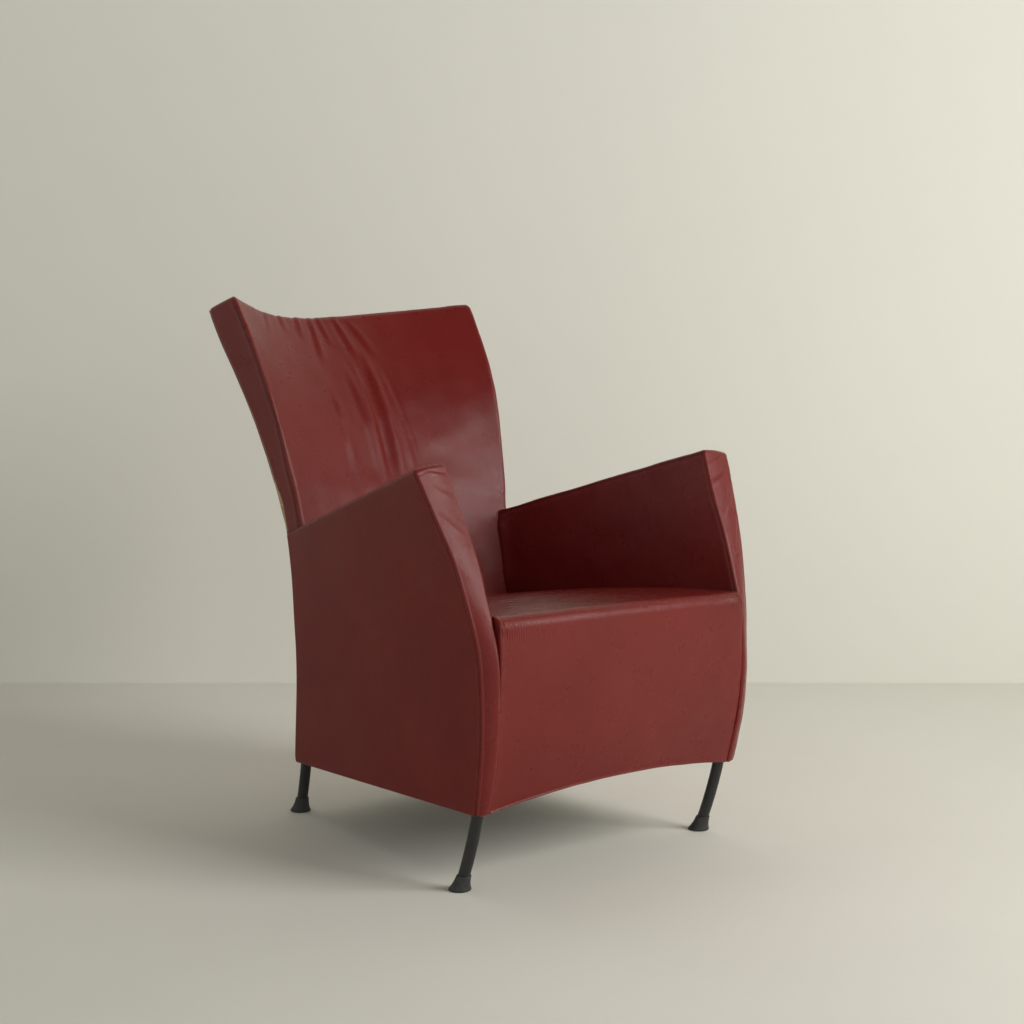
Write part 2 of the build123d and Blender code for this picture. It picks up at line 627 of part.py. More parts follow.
# The right arm, from its outer leather in to its inner leather
right_side = {}
skin_top, foam_top, pad_top = [
    arm_top(lower) for lower in (LEATHER, INSIDE_SKIN, INSIDE_SKIN + ARM_FRONT_PAD)
]
panel_top, panel_front = arm_top(INSIDE_SKIN + ARM_FRONT_PAD + CLEARANCE), INSIDE_SKIN + ARM_FRONT_PAD
UNDER_OUTER, UNDER_INNER = ("outer", -INSIDE_SKIN), ("inner", INSIDE_SKIN)
CORE_OUT, CORE_IN = ("inner", ARM_INNER_PAD + ARM_CORE), ("inner", ARM_INNER_PAD)
PAD_OUT, PAD_IN = ("inner", CORE_OUT[1] + CLEARANCE), ("inner", ARM_INNER_PAD - CLEARANCE)
right_side["outer_arm_leather"] = joined(arm_layer(("outer", 0), ("outer", -LEATHER)))
band_top = above(arm_layer(UNDER_OUTER, ("inner", 0)), skin_top)
band_front = below(arm_front_layer(UNDER_OUTER, ("inner", 0), 0, LEATHER), arm_top(LEATHER / 2))
right_side["arm_band_leather"] = joined(band_top + band_front)
inner_skin = arm_layer(("inner", LEATHER), ("inner", 0), front=INSIDE_SKIN)
right_side["inner_arm_leather"] = joined(above(below(inner_skin, foam_top), web))
outer_pad = arm_layer(UNDER_OUTER, PAD_OUT, front=INSIDE_SKIN)
right_side["outer_arm_pad"] = without(below(outer_pad, foam_top), *fittings)
inner_pad = arm_layer(PAD_IN, UNDER_INNER, front=INSIDE_SKIN)
right_side["inner_arm_pad"] = joined(above(below(inner_pad, foam_top), web))
top_pad = above(below(arm_layer(CORE_OUT, CORE_IN, front=INSIDE_SKIN), foam_top), pad_top)
front_pad = arm_front_layer(CORE_OUT, CORE_IN, INSIDE_SKIN, panel_front)
right_side["arm_front_pad"] = without(joined(top_pad + below(front_pad, arm_top(ARM_FRONT_PAD))), leg_pocket)
side_panel = below(arm_layer(CORE_OUT, CORE_IN, front=panel_front + CLEARANCE), panel_top)

# The seat between the arms and in front of the back
bend, waist = back_edge(1)[0], back_edge(3)[0]
seat_lean = (waist[1] - bend[1]) / (waist[2] - bend[2])
seat_end = Plane(origin=(0, bend[1] - CLEARANCE, bend[2]), z_dir=(0, 1, -seat_lean))
seat_sides = [inner_plane(-CLEARANCE), inner_plane_left(-CLEARANCE)]
parts["seat_cover"] = joined(below(lofted_across(cover_edges), seat_end, *seat_sides))
seat_foam = above(lofted_across(foam_edges), web)
parts["seat_foam"] = joined(below(seat_foam, seat_end, *seat_sides))
fall_pad = lofted_across(fall_layer_edges(LEATHER + CLEARANCE, LEATHER + FALL_PAD))
parts["front_fall_pad"] = joined(below(fall_pad, *seat_sides))
board = lofted_across(fall_layer_edges(LEATHER + FALL_PAD + CLEARANCE, FALL_DEPTH))
parts["front_board"] = without(below(board, web_plane(STRAP), *seat_sides), *both_fittings)

# Side rails and corner blocks on the inner face of the plywood panel
rail_start = SEAT_FRONT_Y + SEAT_CROWN + FALL_DEPTH + FALL_SETBACK
rail_box = box_between((0, BACK_HEIGHT), (rail_start, rail_front), (0, BACK_HEIGHT))
rail_box = below(above(rail_box, inner_plane(-SIDE_RAIL_WIDTH)), inner_plane(ARM_INNER_PAD))
rail_levels = [web_plane(STRAP * 2 + SIDE_RAIL_HEIGHT), web_plane(STRAP * 2)]
right_side["side_seat_rail"] = joined(below(above(rail_box, rail_levels[0]), rail_levels[1]))
block_levels = (FRONT_PLATE_LEVEL + PLATE, FRONT_PLATE_LEVEL + PLATE + BLOCK_HEIGHT)
front_block = box_between((0, BACK_HEIGHT), (rail_start, rail_start + BLOCK_DEPTH), block_levels)
front_block = below(above(front_block, inner_plane(-BLOCK_WIDTH)), inner_plane(ARM_INNER_PAD))
rear_reach = REAR_PLATE_X - REAR_BLOCK_INSET
rear_block = box_between(
    (rear_reach - BLOCK_WIDTH, rear_reach),
    (lower_rail_front - REAR_BLOCK_DEPTH, lower_rail_front),
    (REAR_PLATE_LEVEL + PLATE, BACK_BOTTOM + LOWER_RAIL_HEIGHT),
)

# Legs with their plates, screws and feet, and the panel and post that they are fixed to
right_side["side_panel"] = without(side_panel, *fittings)
right_side["back_post"] = without(post, *fittings)
right_side["front_leg"] = leg_tube(FRONT_LEG)
right_side["rear_leg"] = leg_tube(REAR_LEG)
right_side["front_foot"] = leg_foot(FRONT_LEG)
right_side["rear_foot"] = leg_foot(REAR_LEG)
right_side["front_leg_plate"] = without(leg_plate(*front_plate_at), *front_screws)
right_side["rear_leg_plate"] = without(leg_plate(*rear_plate_at), *rear_screws)
for node, shape in right_side.items():
    parts[node + "_right"] = shape
    parts[node + "_left"] = mirrored(shape)
right_blocks = joined(without(front_block, *fittings), without(rear_block, *fittings))
parts["corner_blocks"] = both_sides(right_blocks)
parts["plate_screws"] = both_sides(joined(*front_screws, *rear_screws))

# Seat webbing: lengthwise straps over crosswise ones
strap_front = SEAT_FRONT_Y + SEAT_CROWN + FALL_SETBACK
half_strap = STRAP_WIDTH / 2
long_reach = rail_half - LONG_STRAP_INSET - half_strap
long_straps = []
for n in range(LONG_STRAP_COUNT):
    x = (2 * n / (LONG_STRAP_COUNT - 1) - 1) * long_reach
    strip = box_between((x - half_strap, x + half_strap), (strap_front, rail_rear), (0, BACK_HEIGHT))
    long_straps.append(above(below(strip, web), web_plane(STRAP)))
parts["seat_webbing_long"] = joined(*long_straps)
cross_straps = []
strap_ends = [inner_plane(STRAP_HOLD - SIDE_RAIL_WIDTH), inner_plane_left(STRAP_HOLD - SIDE_RAIL_WIDTH)]
cross_pitch = (BACK_FRONT_AT_FOOT - CROSS_STRAP_FIRST - CROSS_STRAP_REST) / (CROSS_STRAP_COUNT - 1)
for n in range(CROSS_STRAP_COUNT):
    y = FRONT_FOOT_Y + CROSS_STRAP_FIRST + n * cross_pitch
    strip = box_between(WHOLE_X, (y - half_strap, y + half_strap), (0, BACK_HEIGHT))
    cross_straps.append(above(below(strip, web_plane(STRAP), *strap_ends), web_plane(STRAP * 2)))
parts["seat_webbing_cross"] = joined(*cross_straps)

# Dust cover stretched under the seat, cut round the blocks and posts
dust_level = FRONT_PLATE_LEVEL + DUST_FRONT_RISE
dust_slope = (BACK_BOTTOM + DUST_REAR_RISE - dust_level) / (SEAT_REAR_Y - SEAT_FRONT_Y)
dust_planes = [
    Plane(origin=(0, SEAT_FRONT_Y, level), z_dir=(0, -dust_slope, 1))
    for level in (dust_level, dust_level - DUST_CLOTH)
]
dust = box_between(WHOLE_X, (rail_start, lower_rail_front), (0, BACK_HEIGHT))
dust = above(below(dust, dust_planes[0]), dust_planes[1])
dust = below(dust, inner_plane(ARM_INNER_PAD), inner_plane_left(ARM_INNER_PAD))
keep_clear = [parts[node] for node in ("corner_blocks", "back_post_right", "back_post_left")]
parts["dust_cover"] = without(dust, *keep_clear, *both_fittings)

for node, shape in parts.items():
    export_step(shape, f"parts/{node}.step")
print(len(parts), "nodes")
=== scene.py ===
import math

import bmesh
import bpy
import numpy as np
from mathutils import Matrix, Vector


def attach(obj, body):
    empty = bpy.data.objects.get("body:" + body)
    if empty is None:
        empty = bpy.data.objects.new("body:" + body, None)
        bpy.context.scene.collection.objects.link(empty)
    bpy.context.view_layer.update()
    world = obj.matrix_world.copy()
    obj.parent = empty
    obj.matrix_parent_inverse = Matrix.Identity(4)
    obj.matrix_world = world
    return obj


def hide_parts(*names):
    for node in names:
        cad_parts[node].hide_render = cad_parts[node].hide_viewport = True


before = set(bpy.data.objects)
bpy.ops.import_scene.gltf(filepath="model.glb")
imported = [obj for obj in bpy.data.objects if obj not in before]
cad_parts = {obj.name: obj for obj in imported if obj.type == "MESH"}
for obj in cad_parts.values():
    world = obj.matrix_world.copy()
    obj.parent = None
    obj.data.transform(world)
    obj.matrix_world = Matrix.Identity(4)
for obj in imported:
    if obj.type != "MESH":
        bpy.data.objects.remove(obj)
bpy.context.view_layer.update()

# Where the front feet stand on the Y axis; the shapes below are measured from that line
FOOT_LINE = -0.363

# Arm: heights of its ends, its front line and its faces, then shares of them up the arm
ARM_FRONT_LOW, ARM_FRONT_RISE = 0.140, 0.558
ARM_REAR_LOW, ARM_REAR_RISE = 0.100, 0.4405
ARM_OVERHANG, ARM_SWEEP = 0.0935, 0.106
ARM_OUTER, ARM_FLARE_OUT = 0.299, 0.0595
ARM_REAR_OUTER, ARM_REAR_FLARE = 0.236, 0.0105
ARM_INNER, INNER_TAPER, INNER_LEAN, ARM_FLARE_IN = 0.276, 0.0938, 0.005, 0.027
ARM_TOP_LIFT = 0.008
ARM_LEVELS = (0, 0.079, 0.197, 0.335, 0.493, 0.631, 0.749, 0.8575, 1)
ARM_SWEEPS = (0.222, 0.126, 0.024, 0, 0.061, 0.222, 0.411, 0.662, 1)
ARM_FLARES_OUT = (0, 0.045, 0.105, 0.125, 0.185, 0.37, 0.54, 0.745, 1)
ARM_FLARES_IN = (0, 0, 0, 0, 0, 0.15, 0.31, 0.54, 1)
ARM_REAR_FLARES = (0, 0.05, 0.1, 0.14, 0.24, 0.38, 0.48, 0.67, 1)
ARM_LIFTS = (0, 0, 0, 0, 0, 0, 0.1, 0.4, 1)

# How far the front strip's inner edge stands ahead of its outer edge, at shares up the arm
SLANT_LEVELS, SLANTS = (0, 0.22, 0.46, 0.68, 0.85, 1), (0.005, 0.011, 0.014, 0.005, 0, 0)
SLANT_RUN = 0.08

# Arm details: its rounded edges, the skin of its outer panel and its rounded lower rear corner
ARM_CORNER, ARM_SKIN, ARM_HEIGHT = 0.0055, 0.0022, 0.50
ARM_REAR_GAP, BOTTOM_DROP, REAR_CORNER = 0.0019, 0.0010, 0.014

# Back: front edge and rear edge up the back, and how deeply both faces are curved across
BACK_LOW, BACK_RISE = 0.100, 0.884
BACK_FRONT, BACK_RECLINE = 0.470, 0.214
BACK_HALF, BACK_FLARE = 0.236, 0.0485
BACK_EDGE, BACK_DROP, BACK_SPLAY = 0.080, 0.027, 0.0125
BACK_HOLLOW, BACK_CROWN, BACK_TILT, BACK_SAG = 0.098, 0.070, 0.004, 0.008
BACK_LEVELS = (0, 0.23, 0.34, 0.43, 0.525, 0.585, 0.636, 0.7, 0.773, 0.846, 0.941, 1)
BACK_RECLINES = (0, 0, 0.075, 0.14, 0.215, 0.257, 0.308, 0.374, 0.477, 0.612, 0.836, 1)
BACK_FLARES = (0, 0.06, 0.12, 0.15, 0.25, 0.35, 0.455, 0.58, 0.7, 0.825, 0.95, 1)
BACK_EDGES = (1.22, 1.07, 0.92, 0.79, 0.71, 0.765, 0.805, 0.88, 0.97, 1.03, 1.07, 1)
BACK_DROPS = (0, 0, 0, 0.18, 0.44, 0.52, 0.63, 0.74, 0.85, 0.96, 1.04, 1)
BACK_SPLAYS = (0, 0, 0, 0, 0, 0, 0.05, 0.08, 0.2, 0.4, 0.8, 1)
BACK_HOLLOWS = (0.02, 0.03, 0.04, 0.163, 0.245, 0.33, 0.43, 0.54, 0.67, 0.8, 0.94, 1)
BACK_CROWNS = (0.02, 0.02, 0.057, 0.114, 0.17, 0.286, 0.4, 0.51, 0.64, 0.77, 0.91, 1)

# The back's rounded edges, and the level up the back at which its cushion starts
BACK_CORNER, BACK_START = 0.0095, 0.19

# Seat: side profile, crown across, arch of the fall's lower edge
SEAT_FRONT, SEAT_FRONT_TOP, SEAT_REAR_TOP, SEAT_REAR = 0.110, 0.459, 0.385, 0.520
SEAT_BULGE, SEAT_NOSE, SEAT_CROWN, SEAT_TILT = 0.014, 0.020, 0.006, 0.0045
FALL_LOW, FALL_ARCH, ARCH_SPAN = 0.134, 0.0275, 0.320
WEB_FRONT, WEB_REAR = 0.300, 0.262
SEAT_EDGE, SEAT_HALF = 0.0042, 0.28

# Points of each corner arc of a rounded loop, and the distance below which points are merged
CORNER_POINTS = 6
MERGE = 2e-5


def spline(levels, values, x):
    """Smooth curve through a table: cubic pieces with the table's own central slopes."""
    knots, heights = np.asarray(levels, float), np.asarray(values, float)
    slopes = np.gradient(heights, knots)
    i = np.clip(np.searchsorted(knots, x) - 1, 0, len(knots) - 2)
    step = knots[i + 1] - knots[i]
    t = (x - knots[i]) / step
    return (
        (1 + 2 * t) * (1 - t) ** 2 * heights[i]
        + t * (1 - t) ** 2 * step * slopes[i]
        + t**2 * (3 - 2 * t) * heights[i + 1]
        + t**2 * (t - 1) * step * slopes[i + 1]
    )


def ease(x):
    """Smooth step from 0 at x = 0 to 1 at x = 1."""
    x = np.clip(x, 0, 1)
    return x * x * (3 - 2 * x)


def band(distance, middle, width):
    """A smooth band of 1 at one distance, fading to both sides as a bell curve."""
    return np.exp(-(((distance - middle) / width) ** 2))


def arc_height(half, rise, x):
    """Height at x of an arc that stands rise high over the middle of a chord 2 half wide."""
    radius = (half**2 + rise**2) / (2 * rise)
    return rise - radius + np.sqrt(radius**2 - np.minimum(np.abs(x), half) ** 2)


def steps(length, fine, coarse, margin):
    """Places along a length: fine steps within a margin of both ends, coarse ones between."""
    count = max(2, int(round((length - 2 * margin) / coarse)))
    ends = np.arange(0, margin, fine)
    middle = np.linspace(margin, length - margin, count)
    return np.concatenate([ends, middle, length - ends[::-1]])


def ripple(points, size, seed):
    """Slow unevenness of about 1 high: a sum of sine waves of about that size in all directions."""
    random = np.random.default_rng(seed)
    total = np.zeros(points.shape[:-1])
    for _ in range(14):
        way = random.normal(size=3)
        way *= 2 * math.pi / (size * random.uniform(0.7, 1.6) * np.linalg.norm(way))
        total += np.sin(points @ way + random.uniform(0, 2 * math.pi))
    return total / 4


def fold(across, along, start, end, width, height, bow):
    """A soft fold between two points of a panel: a ridge beside a valley.

    Both are bell curves across the line, which is bowed, and they fade towards its ends.
    """
    start, end = np.array(start, float), np.array(end, float)
    way = end - start
    length = np.linalg.norm(way)
    way /= length
    dx, dy = across - start[0], along - start[1]
    s = (dx * way[0] + dy * way[1]) / length
    d = dx * -way[1] + dy * way[0] - bow * 4 * s * (1 - s)
    fade = ease(s / 0.3) * ease((1 - s) / 0.45)
    reach = width * (0.7 + 0.6 * np.clip(s, 0, 1))
    ridge = np.exp(-((d / reach) ** 2))
    valley = np.exp(-(((d + 1.5 * reach) / (1.1 * reach)) ** 2))
    return height * fade * (ridge - 0.8 * valley)


# Closed forms made of rounded loops that are stacked up a piece


def rounded_loop(side_b, side_a, radius, inset):
    """One loop round a four-sided section, as shares of it plus lengths that are added to them.

    Side samples are lengths from 0 to 1 along B (both long sides) and A (both short sides). The
    corner arcs have their centres at the given radius from both sides, and the loop is moved in.
    """
    r, left = radius, max(radius - inset, radius * 0.04)
    turn = np.linspace(0, math.pi / 2, CORNER_POINTS + 2)[1:-1]
    cos, sin = np.cos(turn), np.sin(turn)
    rows = []

    def add(a, da, b, db):
        parts = np.broadcast_arrays(a, da, b, db)
        rows.append(np.stack([np.asarray(p, float) for p in parts], -1))

    near = r - left
    add(0, near, side_b, r * (1 - 2 * side_b))
    add(0, r - left * cos, 1, -(r - left * sin))
    add(side_a, r * (1 - 2 * side_a), 1, -near)
    add(1, -(r - left * sin), 1, -(r - left * cos))
    back = side_b[::-1]
    add(1, -near, back, r * (1 - 2 * back))
    add(1, -(r - left * cos), 0, r - left * sin)
    front = side_a[::-1]
    add(front, r * (1 - 2 * front), 0, near)
    add(0, r - left * sin, 0, r - left * cos)
    return np.concatenate(rows)


def walked(grid, axis=0):
    """Length walked along one axis of a grid, from its first row or column to every point."""
    step = np.linalg.norm(np.diff(grid, axis=axis), axis=2)
    return np.insert(np.cumsum(step, axis), 0, 0, axis)


def walked_round(grid):
    """Length walked round each closed row to every point, and each row's whole length."""
    step = np.linalg.norm(np.roll(grid, -1, 1) - grid, axis=2)
    length = np.insert(np.cumsum(step, axis=1), 0, 0, 1)
    return length[:, :-1], length[:, -1:]


def grid_normals(grid):
    """Unit normals of a grid that closes on itself along its second axis."""
    along = np.gradient(grid, axis=0)
    around = np.roll(grid, -1, 1) - np.roll(grid, 1, 1)
    normal = np.cross(around, along)
    size = np.linalg.norm(normal, axis=2, keepdims=True)
    return normal / np.maximum(size, 1e-12)


def grid_quads(rows, columns, closed):
    """Quads of a grid, closed along its columns or open."""
    i = np.arange(rows - 1)[:, None] * columns
    last = columns if closed else columns - 1
    j = np.arange(last)[None, :]
    k = (j + 1) % columns
    return np.stack([i + j, i + k, i + columns + k, i + columns + j], -1).reshape(-1, 4)


def new_piece(name, points, quads, material, merge=1e-6, values=None):
    """A mesh object from points and quads, its doubles merged and its faces turned outwards."""
    mesh = bpy.data.meshes.new(name)
    points = np.asarray(points, np.float32).reshape(-1, 3)
    mesh.from_pydata(points.tolist(), [], quads.tolist())
    for attribute, data in (values or {}).items():
        layer = mesh.attributes.new(attribute, "FLOAT", "POINT")
        layer.data.foreach_set("value", np.asarray(data, np.float32).ravel())
    work = bmesh.new()
    work.from_mesh(mesh)
    if merge:
        bmesh.ops.remove_doubles(work, verts=work.verts, dist=merge)
        bmesh.ops.dissolve_degenerate(work, dist=merge / 2, edges=work.edges)
    bmesh.ops.recalc_face_normals(work, faces=work.faces)
    if work.calc_volume(signed=True) < 0:
        bmesh.ops.reverse_faces(work, faces=work.faces)
    work.to_mesh(mesh)
    work.free()
    mesh.shade_smooth()
    mesh.materials.append(material)
    piece = bpy.data.objects.new(name, mesh)
    bpy.context.scene.collection.objects.link(piece)
    return piece


def mirrored(points):
    """The same points on the other side of the chair."""
    return points * np.array([-1.0, 1.0, 1.0])


# Materials


class Nodes:
    """Short ways to add and join the nodes of one material."""

    def __init__(self, name):
        self.material = bpy.data.materials.new(name)
        self.material.use_nodes = True
        self.tree = self.material.node_tree
        self.shader = self.tree.nodes["Principled BSDF"]
        self.place = self.tree.nodes.new("ShaderNodeTexCoord").outputs["Object"]

    def link(self, source, target):
        self.tree.links.new(source, target)

    def feed(self, name, source):
        self.link(source, self.shader.inputs[name])

    def put(self, **values):
        for key, value in values.items():
            self.shader.inputs[key.replace("_", " ")].default_value = value

    def noise(self, scale, detail=3.0, roughness=0.55, vector=None):
        node = self.tree.nodes.new("ShaderNodeTexNoise")
        node.inputs["Scale"].default_value = scale
        node.inputs["Detail"].default_value = detail
        node.inputs["Roughness"].default_value = roughness
        self.link(vector or self.place, node.inputs["Vector"])
        return node.outputs["Fac"]

    def cells(self, scale):
        node = self.tree.nodes.new("ShaderNodeTexVoronoi")
        node.feature = "DISTANCE_TO_EDGE"
        node.inputs["Scale"].default_value = scale
        self.link(self.place, node.inputs["Vector"])
        return node.outputs["Distance"]

    def stretch(self, scale):
        node = self.tree.nodes.new("ShaderNodeMapping")
        node.inputs["Scale"].default_value = scale
        self.link(self.place, node.inputs["Vector"])
        return node.outputs["Vector"]

    def ramp(self, source, *stops):
        node = self.tree.nodes.new("ShaderNodeValToRGB")
        elements = node.color_ramp.elements
        while len(elements) < len(stops):
            elements.new(0.5)
        for element, (at, colour) in zip(elements, stops):
            element.position = at
            element.color = (*colour, 1)
        self.link(source, node.inputs["Fac"])
        return node.outputs["Color"]

    def span(self, source, low, high, start=0.0, end=1.0):
        node = self.tree.nodes.new("ShaderNodeMapRange")
        limits = {"From Min": start, "From Max": end, "To Min": low, "To Max": high}
        for key, value in limits.items():
            node.inputs[key].default_value = value
        self.link(source, node.inputs["Value"])
        return node.outputs["Result"]

    def math(self, operation, first, second=None):
        node = self.tree.nodes.new("ShaderNodeMath")
        node.operation = operation
        for socket, value in zip(node.inputs, (first, second)):
            if hasattr(value, "links"):
                self.link(value, socket)
            elif value is not None:
                socket.default_value = value
        return node.outputs["Value"]

    def mix(self, factor, first, second):
        node = self.tree.nodes.new("ShaderNodeMix")
        node.data_type = "RGBA"
        sockets = [s for s in node.inputs if s.type == "RGBA"]
        factor_socket = node.inputs["Factor"]
        for socket, value in zip([factor_socket, *sockets], (factor, first, second)):
            if hasattr(value, "links"):
                self.link(value, socket)
            elif isinstance(value, tuple):
                socket.default_value = (*value, 1)
            else:
                socket.default_value = value
        return [s for s in node.outputs if s.type == "RGBA"][0]

    def wave(self, scale, direction, distortion=0.0):
        node = self.tree.nodes.new("ShaderNodeTexWave")
        node.bands_direction = direction
        node.inputs["Scale"].default_value = scale
        node.inputs["Distortion"].default_value = distortion
        self.link(self.place, node.inputs["Vector"])
        return node.outputs["Fac"]

    def attribute(self, name):
        node = self.tree.nodes.new("ShaderNodeAttribute")
        node.attribute_name = name
        return node.outputs["Fac"]

    def bump(self, height, distance, strength):
        node = self.tree.nodes.new("ShaderNodeBump")
        node.inputs["Distance"].default_value = distance
        node.inputs["Strength"].default_value = strength
        self.link(height, node.inputs["Height"])
        self.feed("Normal", node.outputs["Normal"])


def leather():
    """Pigmented leather: pebbled grain, uneven pigment, painted shade in its seams, paler patches
    beside them.
    """
    made = Nodes("brick_red_leather")
    patches = made.noise(7.0, 4.0)
    colour = made.ramp(patches, (0.3, (0.150, 0.0105, 0.0085)), (0.7, (0.180, 0.0138, 0.0110)))
    grain = made.cells(620.0)
    crackle = made.cells(260.0)
    pores = made.noise(1500.0, 2.0)
    fine = made.span(grain, 0.0, 1.0, 0.0, 0.22)
    colour = made.mix(made.span(fine, 0.22, 0.0), colour, (0.085, 0.0095, 0.0078))
    # Painted shade: the colour is darkened along the seams, standing in for the shade inside their
    # grooves
    seam = made.attribute("seam")
    colour = made.mix(made.span(seam, 0.0, 0.78), colour, (0.030, 0.0060, 0.0055))
    # Paler in patches, in a band just beside each seam
    edge = made.attribute("edge")
    pale_patches = made.math("MULTIPLY", edge, made.span(made.noise(60.0, 3.0), 0.2, 1.0, 0.35, 0.65))
    colour = made.mix(made.span(pale_patches, 0.0, 0.16), colour, (0.30, 0.075, 0.062))
    made.feed("Base Color", colour)
    matte = made.attribute("matte")
    rough = made.span(made.noise(24.0, 4.0), 0.23, 0.34)
    made.feed("Roughness", made.math("ADD", rough, made.math("MULTIPLY", matte, 0.10)))
    made.feed("Specular IOR Level", made.span(matte, 0.31, 0.15))
    crumple = made.noise(40.0, 3.0)
    puckers = made.math("MULTIPLY", made.attribute("pucker"), made.wave(66.0, "X", 2.5))
    height = made.math("MULTIPLY", fine, 0.9)
    for part, share in ((crackle, 1.1), (pores, 0.35), (crumple, 2.5), (puckers, 14.0)):
        height = made.math("ADD", height, made.math("MULTIPLY", part, share))
    made.bump(height, 0.00016, 0.65)
    return made.material


def satin_black():
    """Satin black paint on steel, with a faint speck."""
    made = Nodes("satin_black_paint")
    speck = made.noise(420.0, 3.0)
    tones = made.ramp(speck, (0.3, (0.010, 0.010, 0.011)), (0.8, (0.020, 0.020, 0.022)))
    made.feed("Base Color", tones)
    made.feed("Roughness", made.span(made.noise(90.0, 3.0), 0.36, 0.50))
    made.bump(speck, 0.00010, 0.35)
    return made.material


def rubber():
    """Dark grey matte rubber, a little dusty."""
    made = Nodes("dark_rubber")
    dust = made.noise(110.0, 4.0)
    tones = made.ramp(dust, (0.3, (0.022, 0.022, 0.023)), (0.75, (0.045, 0.045, 0.046)))
    made.feed("Base Color", tones)
    made.feed("Roughness", made.span(dust, 0.58, 0.75))
    made.bump(made.noise(700.0, 2.0), 0.00012, 0.4)
    return made.material


def bare_wood():
    """Plywood and beech: pale streaks along one axis with fine pores."""
    made = Nodes("plain_wood")
    streaks = made.noise(18.0, 5.0, 0.6, made.stretch((9.0, 1.0, 9.0)))
    tones = made.ramp(streaks, (0.3, (0.36, 0.22, 0.12)), (0.7, (0.56, 0.39, 0.23)))
    made.feed("Base Color", tones)
    made.feed("Roughness", made.span(streaks, 0.55, 0.72))
    made.bump(streaks, 0.0003, 0.4)
    return made.material


def cloth(name, low, high, scale):
    """Plain woven cloth: crossed threads with a little unevenness."""
    made = Nodes(name)
    waves = [made.wave(scale, direction) for direction in ("X", "Y")]
    weave = made.math("MULTIPLY", *waves)
    made.feed("Base Color", made.ramp(weave, (0.1, low), (0.9, high)))
    made.put(Roughness=0.9)
    made.bump(weave, 0.0004, 0.6)
    return made.material


def screw_steel():
    """Zinc-plated steel with a cloudy tone."""
    made = Nodes("zinc_plated_steel")
    cloud = made.noise(300.0)
    tones = made.ramp(cloud, (0.3, (0.42, 0.42, 0.41)), (0.7, (0.60, 0.60, 0.58)))
    made.feed("Base Color", tones)
    made.put(Metallic=1.0, Roughness=0.35)
    return made.material


LEATHER, BLACK, RUBBER = leather(), satin_black(), rubber()
WOOD, STEEL = bare_wood(), screw_steel()
WEBBING = cloth("black_webbing", (0.008, 0.008, 0.008), (0.035, 0.035, 0.035), 160.0)
DUST_CLOTH = cloth("black_dust_cloth", (0.010, 0.010, 0.011), (0.030, 0.030, 0.032), 320.0)

# The arms


def inner_face(y, z):
    """Half width between the arms at a place measured from the foot line."""
    return ARM_INNER - INNER_TAPER * (y + ARM_OVERHANG) + INNER_LEAN * z


def rear_edge(z):
    """Where the back's rear edge is at height z, from the foot line."""
    level = np.linspace(0, 1, 200)
    y = BACK_FRONT + BACK_RECLINE * spline(BACK_LEVELS, BACK_RECLINES, level)
    y = y + BACK_EDGE * spline(BACK_LEVELS, BACK_EDGES, level)
    height = BACK_LOW + BACK_RISE * level - BACK_DROP * spline(BACK_LEVELS, BACK_DROPS, level)
    return np.interp(z, height, y)


def back_face(z):
    """Where the front face of the back is at height z beside the arms, from the foot line."""
    level = np.linspace(0, 1, 200)
    y = BACK_FRONT + BACK_RECLINE * spline(BACK_LEVELS, BACK_RECLINES, level)
    return np.interp(z, BACK_LOW + BACK_RISE * level, y)


def arm_place(level, a, da, b, db):
    """Point of the right arm: A runs from its outer to its inner face, B from front to rear.

    The front line sweeps and flares by smooth tables of the level, the rear line is nearly upright,
    and every level is straight between the two. Lengths da and db are added to the shares. Near the
    front the inner side stands ahead of the outer side by the slant.
    """
    z_front = ARM_FRONT_LOW + ARM_FRONT_RISE * level
    z_rear = ARM_REAR_LOW + ARM_REAR_RISE * level
    y_front = -ARM_OVERHANG + ARM_SWEEP * spline(ARM_LEVELS, ARM_SWEEPS, level)
    y_rear = rear_edge(z_rear) - ARM_REAR_GAP
    outer_front = ARM_OUTER + ARM_FLARE_OUT * spline(ARM_LEVELS, ARM_FLARES_OUT, level)
    flare_in = ARM_FLARE_IN * spline(ARM_LEVELS, ARM_FLARES_IN, level)
    inner_front = inner_face(y_front, z_front) + flare_in
    outer_rear = ARM_REAR_OUTER + ARM_REAR_FLARE * spline(ARM_LEVELS, ARM_REAR_FLARES, level)
    inner_rear = inner_face(y_rear, z_rear)
    run = y_rear - y_front
    t = b + db / run
    outer = outer_front + (outer_rear - outer_front) * t
    inner = inner_front + (inner_rear - inner_front) * t
    x = outer + (inner - outer) * a - da
    lift = ARM_TOP_LIFT * spline(ARM_LEVELS, ARM_LIFTS, level) / (outer_front - inner_front)
    z = z_front + (z_rear - z_front) * t + lift * ((outer + inner) / 2 - x)
    ahead = spline(SLANT_LEVELS, SLANTS, level)
    slant = ahead * np.clip(a, 0, 1) * (1 - ease(run * t / SLANT_RUN))
    return np.stack([x, y_front + run * t - slant + FOOT_LINE, z], -1)


def round_rear_corner(points):
    """Round the arm's lower rear corner in side view: its square is mapped onto a quarter disc."""
    points = points.copy()
    y_corner = FOOT_LINE + rear_edge(ARM_REAR_LOW) - ARM_REAR_GAP
    z_corner = ARM_REAR_LOW - BOTTOM_DROP
    size = REAR_CORNER
    a = (points[..., 1] - (y_corner - size)) / size
    b = ((z_corner + size) - points[..., 2]) / size
    inside = (a > 0) & (b > 0)
    a_in, b_in = np.clip(a[inside], 0, 1), np.clip(b[inside], 0, 1.15)
    points[inside, 1] = (y_corner - size) + size * a_in * np.sqrt(1 - b_in**2 / 2)
    points[inside, 2] = (z_corner + size) - size * b_in * np.sqrt(1 - a_in**2 / 2)
    return points


